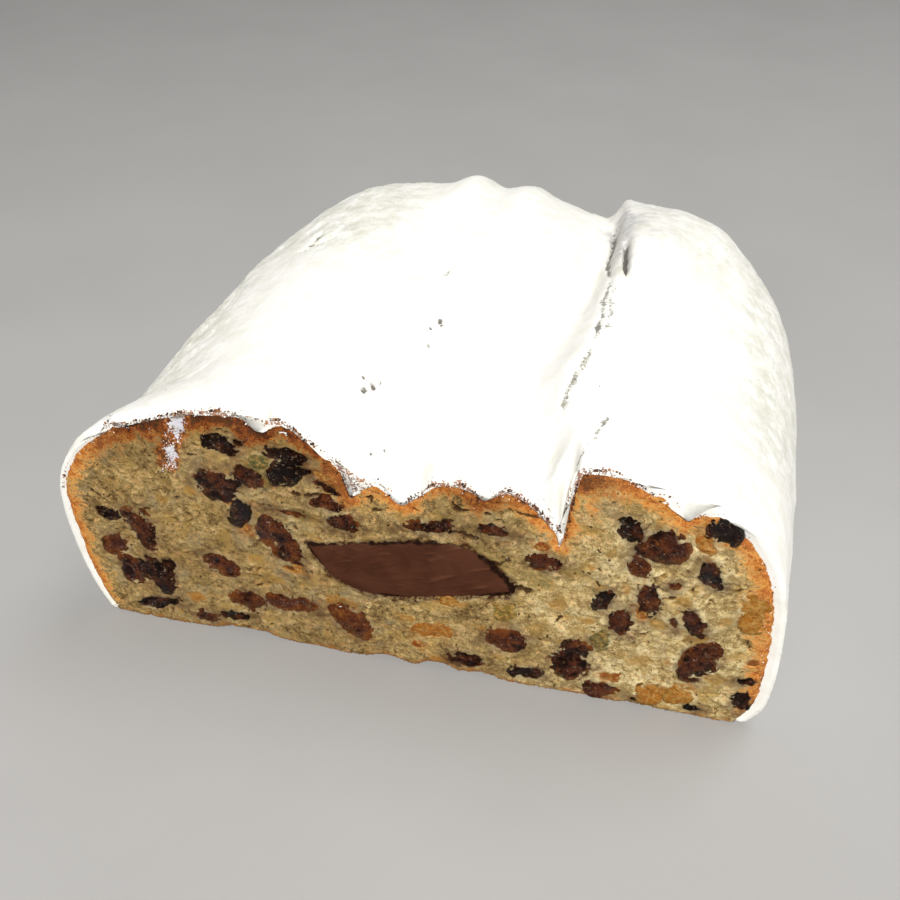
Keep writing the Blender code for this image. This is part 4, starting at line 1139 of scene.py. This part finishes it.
def crumb_material():
    m = Nodes("stollen_crumb", 0.72)
    m.bsdf.inputs["Specular IOR Level"].default_value = 0.12
    m.bsdf.inputs["Subsurface Weight"].default_value = 0.30
    m.bsdf.inputs["Subsurface Radius"].default_value = (1.0, 0.62, 0.30)
    m.bsdf.inputs["Subsurface Scale"].default_value = 0.0012
    grain = m.noise(0.75, 4.0, 0.62)
    tiny = m.noise(0.30, 2.0, 0.6)
    coarse = m.noise(2.4, 3.0, 0.62)
    patch = m.noise(5.5, 3.0, 0.55)
    light = m.math("ADD", m.math("MULTIPLY", grain, 0.92), m.math("MULTIPLY", tiny, 0.70))
    light = m.math("ADD", light, m.math("MULTIPLY", coarse, 0.95))
    light = m.math("ADD", light, m.math("MULTIPLY", m.attr("tone"), 0.40))
    # painted shade: the colour darkened in the face's hollows and pores
    light = m.math("SUBTRACT", light, m.math("MULTIPLY", m.attr("cavity_shade"), 0.34))
    light = m.math("SUBTRACT", light, m.math("MULTIPLY", m.attr("pore"), 0.14))
    light = m.math("SUBTRACT", light, 1.02)
    crumb = m.ramp(light, [(0.02, lin(88, 64, 37)), (0.22, lin(128, 104, 62)), (0.42, lin(155, 130, 83)),
                           (0.62, lin(187, 163, 111)), (0.84, lin(230, 214, 166))])
    crumb = m.mix(m.remap(patch, 0.52, 0.68, 0.0, 0.55), crumb, lin(178, 146, 80))
    crumb = m.mix(m.remap(m.noise(7.5, 3.0, 0.6), 0.52, 0.68, 0.0, 0.50), crumb, lin(150, 136, 104))
    crumb = m.mix(m.remap(m.noise(4.2, 3.0, 0.7), 0.58, 0.74, 0.0, 0.45), crumb, lin(162, 110, 66))
    crumb = m.mix(m.math("MULTIPLY", m.attr("halo"), m.remap(coarse, 0.25, 0.60, 0.50, 1.0)), crumb, lin(112, 88, 62))
    hue = m.ramp(m.attr("hue"), [(0.0, lin(94, 88, 44)), (0.15, lin(108, 98, 50)), (0.34, lin(138, 122, 74)),
                                 (0.48, lin(160, 124, 58)), (0.62, lin(176, 120, 48)), (0.9, lin(170, 98, 36))])
    hue = m.mix(m.remap(grain, 0.35, 0.65, 0.0, 0.45), hue, lin(186, 152, 92))
    crumb = m.mix(m.math("MULTIPLY", m.attr("bit"), m.remap(coarse, 0.3, 0.6, 0.45, 0.9)), crumb, hue)
    # baked edge: dark at the skin, then red-brown, then golden
    c = m.math("ADD", m.attr("crust"), m.math("MULTIPLY", m.math("SUBTRACT", grain, 0.5), 1.4))
    c = m.math("ADD", c, m.math("MULTIPLY", m.math("SUBTRACT", tiny, 0.5), 1.3))
    c = m.math("ADD", c, m.math("MULTIPLY", m.math("SUBTRACT", coarse, 0.5), 1.0))
    baked = m.ramp(c, [(0.08, lin(200, 152, 84)), (0.34, lin(178, 110, 46)), (0.58, lin(146, 76, 26)), (0.82, lin(112, 52, 18)),
                       (1.0, lin(76, 34, 14))])
    pale = m.ramp(c, [(0.08, lin(222, 184, 122)), (0.45, lin(220, 164, 92)), (0.80, lin(206, 132, 58)), (1.0, lin(174, 96, 38))])
    baked = m.mix(m.remap(m.attr("golden"), 0.12, 0.50), baked, pale)
    crumb = m.mix(m.remap(c, 0.10, 0.60, 0.0, 0.94), crumb, baked)
    char = m.math("ADD", m.attr("char"), m.math("MULTIPLY", m.math("SUBTRACT", grain, 0.5), 1.5))
    char = m.math("ADD", char, m.math("MULTIPLY", m.math("SUBTRACT", coarse, 0.5), 0.9))
    char = m.math("ADD", char, m.math("MULTIPLY", m.math("SUBTRACT", tiny, 0.5), 0.9))
    crumb = m.mix(m.remap(char, 0.60, 0.98, 0.0, 0.90), crumb, lin(62, 32, 17))
    crumb = m.mix(m.math("MULTIPLY", m.attr("under"), m.remap(coarse, 0.35, 0.6, 0.30, 0.9)), crumb, lin(158, 98, 44))
    stain = m.math("MULTIPLY", m.attr("stain"), m.remap(grain, 0.35, 0.62, 0.45, 1.0))
    crumb = m.mix(stain, crumb, lin(72, 44, 24))
    # painted shade: near-black in the pockets round the fruit and under the core's edge, where the gaps to the crumb
    # fall in shade
    crumb = m.mix(m.remap(m.attr("socket"), 0.25, 0.8), crumb, lin(40, 22, 13))
    # torn pores painted dark as the shade inside them, and finer ones scattered between them, painted dark with no
    # relief of their own
    hole = m.math("ADD", m.attr("pore"), m.math("MULTIPLY", m.math("SUBTRACT", grain, 0.5), 0.9))
    crumb = m.mix(m.remap(hole, 0.62, 1.00, 0.0, 0.85), crumb, lin(62, 38, 20))
    prick = m.voronoi(1.15, "F1", 0.35)
    prick = m.math("ADD", prick, m.math("MULTIPLY", m.math("SUBTRACT", m.noise(3.0, 2.0), 0.5), 0.9))
    crumb = m.mix(m.remap(prick, 0.15, 0.06, 0.0, 0.85), crumb, lin(58, 38, 20))
    crumb = m.mix(m.remap(m.attr("notch"), 0.05, 0.40, 0.0, 0.90), crumb, m.mix(m.remap(grain, 0.40, 0.62), lin(96, 50, 24), lin(186, 112, 52)))
    sugar = m.math("ADD", m.attr("spill"), m.math("MULTIPLY", m.math("SUBTRACT", grain, 0.5), 1.8))
    sugar = m.math("ADD", sugar, m.math("MULTIPLY", m.math("SUBTRACT", tiny, 0.5), 0.9))
    crumb = m.mix(m.remap(sugar, 0.42, 0.60), crumb, lin(222, 220, 226))
    nrm = m.bump(m.math("ADD", m.math("MULTIPLY", grain, 0.8), m.math("MULTIPLY", tiny, 0.5)), 0.40, 0.9)
    rough = m.remap(m.math("ADD", m.attr("stain"), m.math("MULTIPLY", m.attr("bit"), 0.9)), 0.1, 1.0, 0.78, 0.34)
    return m.finish(crumb, nrm, rough)


def crust_material():
    m = Nodes("browned_crust", 0.62)
    m.bsdf.inputs["Specular IOR Level"].default_value = 0.35
    a = m.noise(3.2, 4.0, 0.6)
    b = m.noise(0.7, 3.0, 0.6)
    f = m.math("ADD", m.math("MULTIPLY", a, 0.6), m.math("MULTIPLY", b, 0.45))
    c = m.ramp(f, [(0.30, lin(58, 32, 18)), (0.48, lin(96, 54, 26)), (0.62, lin(138, 82, 38)), (0.8, lin(176, 116, 58))])
    dust = m.noise(1.4, 4.0, 0.7)
    c = m.mix(m.remap(dust, 0.60, 0.72, 0.0, 0.8), c, lin(232, 226, 216))
    n = m.bump(b, 0.35, 0.7)
    return m.finish(c, n)


def sugar_material():
    m = Nodes("icing_sugar_powder", 0.92)
    m.bsdf.inputs["Specular IOR Level"].default_value = 0.2
    m.bsdf.inputs["Sheen Weight"].default_value = 0.10
    m.bsdf.inputs["Sheen Roughness"].default_value = 0.6
    a = m.noise(4.5, 4.0, 0.6)
    fine = m.noise(0.55, 3.0, 0.65)
    clump = m.noise(1.6, 3.0, 0.6)
    c = m.ramp(a, [(0.30, lin(240, 238, 228)), (0.55, lin(249, 248, 243)), (0.75, lin(253, 253, 250))])
    # painted shade: the white greyed and mottled where the cover turns away from the lamps and in the groove
    turned_away_shade = m.math("MULTIPLY", m.attr("left"), m.remap(m.noise(4.2, 5.0, 0.72), 0.36, 0.68))
    c = m.mix(m.math("MULTIPLY", turned_away_shade, 0.92), c, lin(206, 206, 188))
    c = m.mix(m.math("MULTIPLY", m.attr("left"), m.remap(m.noise(1.3, 3.0, 0.7), 0.54, 0.70, 0.0, 0.6)), c, lin(192, 194, 186))
    c = m.mix(m.math("MULTIPLY", m.attr("shade"), m.remap(clump, 0.35, 0.62, 0.25, 0.85)), c, lin(186, 184, 188))
    # where the cover is thin and in its slits, crust shows through, darkened to grey-brown by painted shade
    t = m.math("ADD", m.attr("thin_cover_and_shade"), m.math("MULTIPLY", m.math("SUBTRACT", clump, 0.5), 1.3))
    c = m.mix(m.remap(t, 0.42, 0.90, 0.0, 0.92), c, lin(84, 78, 70))
    # thin cracks drawn in colour only, with no relief of their own: grey-brown lines, partly crust showing and partly
    # painted shade inside the cracks
    gap = m.math("ADD", m.attr("seam"), m.math("MULTIPLY", m.math("SUBTRACT", m.noise(0.5, 3.0, 0.7), 0.5), 2.4))
    gap = m.math("ADD", gap, m.math("MULTIPLY", m.math("SUBTRACT", m.noise(3.6, 2.0), 0.5), 2.6))
    c = m.mix(m.remap(gap, 0.46, 0.02, 0.0, 0.85), c, m.mix(m.remap(clump, 0.42, 0.60), lin(150, 148, 132), lin(92, 88, 76)))
    dot = m.noise(0.34, 2.0, 0.6)
    b = m.math("ADD", m.attr("brushed"), m.math("MULTIPLY", m.math("SUBTRACT", fine, 0.5), 1.2))
    b = m.math("ADD", b, m.math("MULTIPLY", m.math("SUBTRACT", clump, 0.5), 1.0))
    b = m.math("ADD", b, m.math("MULTIPLY", m.math("SUBTRACT", dot, 0.5), 1.6))
    c = m.mix(m.remap(b, 0.86, 1.06, 0.0, 0.90), c, m.mix(m.remap(clump, 0.40, 0.60), lin(74, 46, 40), lin(150, 94, 54)))
    n = m.bump(m.math("ADD", fine, m.math("MULTIPLY", clump, 0.8)), 0.16, 0.45)
    return m.finish(c, n)


def nougat_material():
    m = Nodes("nougat_cream", 0.52)
    m.bsdf.inputs["Specular IOR Level"].default_value = 0.10
    a = math.radians(-24.0)
    streak = m.noise(0.8, 4.0, 0.6, ((0.16, 1.0, 1.0), (0.0, a, 0.0)), 0.4)
    soft = m.noise(5.0, 3.0, 0.5)
    c = m.ramp(soft, [(0.35, lin(71, 40, 27)), (0.65, lin(84, 49, 34))])
    c = m.mix(m.remap(streak, 0.56, 0.76, 0.0, 0.45), c, lin(112, 72, 46))
    glint = m.math("MULTIPLY", m.attr("smear"), 0.6)
    c = m.mix(m.remap(glint, 0.12, 0.4, 0.0, 0.35), c, lin(116, 74, 50))
    r = m.math("ADD", m.attr("rim"), m.math("MULTIPLY", m.math("SUBTRACT", m.noise(0.9, 3.0), 0.5), 0.9))
    c = m.mix(m.remap(r, 0.50, 0.95, 0.0, 0.95), c, lin(30, 15, 10))
    n = m.bump(m.math("ADD", m.math("MULTIPLY", streak, 1.0), m.math("MULTIPLY", m.noise(0.4, 2.0), 0.3)), 0.12, 0.5)
    rough = m.remap(m.noise(1.2, 3.0), 0.3, 0.7, 0.34, 0.58)
    return m.finish(c, n, rough)


def raisin_material():
    m = Nodes("raisin_flesh", 0.28)
    m.bsdf.inputs["Specular IOR Level"].default_value = 0.30
    m.bsdf.inputs["Coat Weight"].default_value = 0.50
    m.bsdf.inputs["Coat Roughness"].default_value = 0.08
    m.bsdf.inputs["Subsurface Weight"].default_value = 0.20
    m.bsdf.inputs["Subsurface Radius"].default_value = (1.0, 0.35, 0.15)
    m.bsdf.inputs["Subsurface Scale"].default_value = 0.0012
    cloud = m.noise(2.4, 4.0, 0.65)
    fine = m.noise(0.7, 3.0, 0.6)
    f = m.math("ADD", m.attr("tone"), m.math("MULTIPLY", m.math("SUBTRACT", cloud, 0.5), 1.7))
    # painted shade: darker down in the wrinkles' creases
    f = m.math("SUBTRACT", f, m.math("MULTIPLY", m.attr("crease"), 0.22))
    f = m.math("ADD", f, m.math("MULTIPLY", m.math("SUBTRACT", fine, 0.5), 0.7))
    c = m.ramp(f, [(0.0, lin(22, 11, 7)), (0.20, lin(50, 25, 15)), (0.40, lin(84, 42, 24)), (0.60, lin(106, 56, 28)),
                   (0.80, lin(128, 72, 32)), (1.0, lin(150, 98, 46))])
    glow = m.math("MULTIPLY", m.attr("clear"), m.remap(m.attr("tone"), 0.05, 0.45, 0.25, 1.0))
    glow = m.math("ADD", glow, m.math("MULTIPLY", m.math("SUBTRACT", cloud, 0.5), 0.9))
    c = m.mix(m.remap(glow, 0.40, 0.90, 0.0, 0.75), c, lin(134, 74, 30))
    c = m.mix(m.remap(m.noise(1.1, 3.0, 0.7), 0.60, 0.74, 0.0, 0.55), c, lin(146, 112, 70))
    # painted glints: sparse small pale specks in the raisins' colour stand in for highlights
    painted_glint = m.math("MULTIPLY", m.remap(m.noise(0.42, 2.0, 0.5), 0.63, 0.71), m.remap(m.noise(2.2, 2.0), 0.44, 0.58))
    c = m.mix(m.math("MULTIPLY", painted_glint, 0.70), c, lin(196, 172, 152))
    h = m.math("ADD", m.math("MULTIPLY", fine, 1.0), m.math("MULTIPLY", m.noise(0.32, 2.0), 0.7))
    n = m.bump(h, 1.15, 1.0)
    m.link(n, m.bsdf.inputs["Coat Normal"])
    rough = m.remap(m.noise(0.9, 3.0), 0.42, 0.60, 0.12, 0.24)
    return m.finish(c, n, rough)


def peel_material():
    m = Nodes("candied_peel", 0.4)
    m.bsdf.inputs["Specular IOR Level"].default_value = 0.16
    m.bsdf.inputs["Subsurface Weight"].default_value = 0.35
    m.bsdf.inputs["Subsurface Radius"].default_value = (1.0, 0.5, 0.2)
    m.bsdf.inputs["Subsurface Scale"].default_value = 0.0018
    cloud = m.noise(2.0, 3.0, 0.6)
    h = m.math("ADD", m.attr("tone"), m.math("MULTIPLY", m.math("SUBTRACT", cloud, 0.5), 0.45))
    c = m.ramp(h, [(0.0, lin(88, 88, 54)), (0.15, lin(98, 92, 48)), (0.35, lin(136, 110, 50)), (0.62, lin(162, 108, 38)),
                   (0.80, lin(158, 96, 36)), (1.0, lin(138, 70, 26))])
    c = m.mix(m.remap(m.noise(0.9, 4.0, 0.7), 0.42, 0.62, 0.0, 0.70), c, lin(188, 148, 84))
    c = m.mix(m.remap(m.noise(1.3, 3.0, 0.7), 0.54, 0.66, 0.0, 0.55), c, lin(96, 58, 28))
    n = m.bump(m.noise(0.5, 3.0), 0.5, 0.9)
    return m.finish(c, n, m.remap(cloud, 0.3, 0.7, 0.2, 0.5))


def grain_material(name, stops, rough):
    m = Nodes(name, rough)
    f = m.math("ADD", m.attr("tone"), m.math("MULTIPLY", m.math("SUBTRACT", m.noise(0.35, 2.0), 0.5), 0.5))
    c = m.ramp(f, stops)
    return m.finish(c, m.bump(m.noise(0.25, 2.0), 0.08, 0.5))


def floor_material():
    m = Nodes("studio_floor", 0.85)
    c = m.ramp(m.noise(60.0, 3.0, 0.5), [(0.3, lin(168, 167, 166)), (0.7, lin(172, 171, 170))])
    return m.finish(c)


# ================================================================ the pieces, put together
def ride(obj, slot, mat, *nodes):
    obj.data.materials.clear()
    obj.data.materials.append(mat)
    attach(obj, "root")
    if nodes:
        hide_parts(*nodes)


crumb = build_crumb()
ride(crumb, "dough", crumb_material(), "dough")
crust = build_crust()
ride(crust, "dough", crust_material())
sugar, SKIN, SKIN_N = build_sugar()
ride(sugar, "sugar", sugar_material(), "icing_sugar")
core = build_core()
ride(core, "nougat", nougat_material(), "nougat_core")
raisins = build_fruit("raisins", RAISINS + SCRAPS, 1.0, 1.22, 0.34, 46, 22)
ride(raisins, "raisin", raisin_material(), *sorted(n for n in NODES if n.startswith("raisin_")))
peels = build_fruit("candied_peel", PEELS + BITS, 0.8, 1.20, 0.32, 40, 20, 60)
ride(peels, "peel", peel_material(), *sorted(n for n in NODES if n.startswith("peel_")))

# dark crumbs of crust brushed up into the sugar along the cut, and grains of sugar on the crust
rng = np.random.default_rng(21)
line = crust_line(0.0)
line = resample(line, 1600)
up = line[line[:, 2] > 9.0]
pick = rng.integers(0, len(up), 9000)
pt = up[pick].copy()
out = pt[:, [0, 2]] - _centre
out /= np.linalg.norm(out, axis=1, keepdims=True)
depth = rng.gamma(1.0, 0.55, len(pt))
patchy = fbm(np.stack([pt[:, 0], pt[:, 0] * 0, pt[:, 2]], -1), 5.0, 2, 130)
ok = rng.random(len(pt)) < np.clip(0.62 + 1.5 * patchy, 0.03, 1.0) * np.clip(brush_zone(pt[:, 0]), 0.03, 1.0)
ok &= pt[:, 2] > 34.0
pt, out, depth = pt[ok], out[ok], depth[ok]
lift = 0.25 + 0.35 * rng.random(len(pt)) + 0.22 * depth
pt[:, 0] += out[:, 0] * lift; pt[:, 2] += out[:, 1] * lift
pt[:, 1] = 0.1 + depth
specks = build_grains("crust_specks", pt, rng.gamma(2.0, 0.048, len(pt)).clip(0.03, 0.28), 22)
ride(specks, "dough", grain_material("crust_speck", [(0.0, lin(34, 22, 20)), (0.5, lin(70, 44, 36)), (0.85, lin(134, 78, 40)),
                                                   (1.0, lin(190, 128, 70))], 0.7))

pick = rng.integers(0, len(up), 600)
pt = up[pick].copy()
inn = _centre - pt[:, [0, 2]]
inn /= np.linalg.norm(inn, axis=1, keepdims=True)
fall = rng.gamma(0.8, 0.6, len(pt))
pt[:, 0] += inn[:, 0] * fall; pt[:, 2] += inn[:, 1] * fall
pt[:, 1] = -0.05 - 0.25 * rng.random(len(pt)) + 0.25
keep = rng.random(len(pt)) < np.clip(0.40 + 1.4 * fbm(np.stack([pt[:, 0], pt[:, 0] * 0 + 9.0, pt[:, 2]], -1), 6.0, 2, 131), 0.04, 1)
pt = pt[keep]
nn = 900                                            # powder that fell down the crack on the left
nz_ = 42.0 + 11.0 * rng.random(nn) ** 0.8
npt = np.stack([-40.1 + 0.34 * (nz_ - 48.0) + rng.normal(0, 0.95, nn), 0.45 + rng.uniform(-0.45, 0.5, nn), nz_], -1)
npt = npt[rng.random(nn) < np.clip(0.55 + 2.0 * noise(npt, 2.4, 132), 0.05, 1.0)]
pt = np.concatenate([pt, npt])
grains = build_grains("sugar_grains", pt, rng.gamma(2.0, 0.032, len(pt)).clip(0.03, 0.20), 23)
ride(grains, "sugar", grain_material("sugar_grain", [(0.0, lin(232, 230, 228)), (1.0, lin(252, 252, 250))], 0.9))


# ================================================================ floor, lights, camera
def build_floor():
    n = 41
    a = np.linspace(-1.4, 1.4, n)
    X, Y = np.meshgrid(a, a, indexing="ij")
    v = np.stack([X, Y, np.full_like(X, -0.00005)], -1).reshape(-1, 3)
    obj = make_mesh("studio_floor", v, grid_quads(n, n))
    obj.data.materials.append(floor_material())
    obj.visible_glossy = False
    return obj


build_floor()
world_ = bpy.data.worlds.new("studio")
bpy.context.scene.world = world_
world_.use_nodes = True
bg = world_.node_tree.nodes["Background"]
bg.inputs["Color"].default_value = (1.0, 0.985, 0.96, 1.0)
bg.inputs["Strength"].default_value = 0.20
world_.cycles_visibility.glossy = False


def area(name, at, target, size, watts, colour=(1, 1, 1), glints=True):
    light = bpy.data.lights.new(name, "AREA")
    light.shape = "DISK"
    light.size = size
    light.energy = watts
    light.color = colour
    obj = bpy.data.objects.new(name, light)
    bpy.context.scene.collection.objects.link(obj)
    obj.location = at
    obj.visible_glossy = glints
    obj.rotation_euler = (Vector(target) - Vector(at)).to_track_quat("-Z", "Y").to_euler()
    return obj


area("key", (0.17, -0.77, 0.92), (0.0, -0.02, 0.03), 0.07, 13.5, (1.0, 0.985, 0.955))
area("fill", (-0.30, -0.90, 0.45), (0.0, -0.02, 0.03), 0.5, 1.1, (1.0, 0.98, 0.95), False)
area("overhead", (0.34, 0.26, 1.05), (0.0, 0.02, 0.03), 0.6, 4.4, (1, 1, 1), False)

cam_data = bpy.data.cameras.new("camera")
cam_data.lens = 36.0
cam_data.sensor_width = 36.0
cam_data.clip_start = 0.01
cam_data.clip_end = 20.0
cam = bpy.data.objects.new("camera", cam_data)
bpy.context.scene.collection.objects.link(cam)
_az, _el = math.radians(12.507), math.radians(40.0)
back = Vector((math.sin(_az) * math.cos(_el), -math.cos(_az) * math.cos(_el), math.sin(_el)))
cam.location = (0.02881, -0.17117, 0.1470)
cam.rotation_euler = back.to_track_quat("Z", "Y").to_euler()
bpy.context.scene.camera = cam
bpy.context.scene.view_settings.view_transform = "Standard"
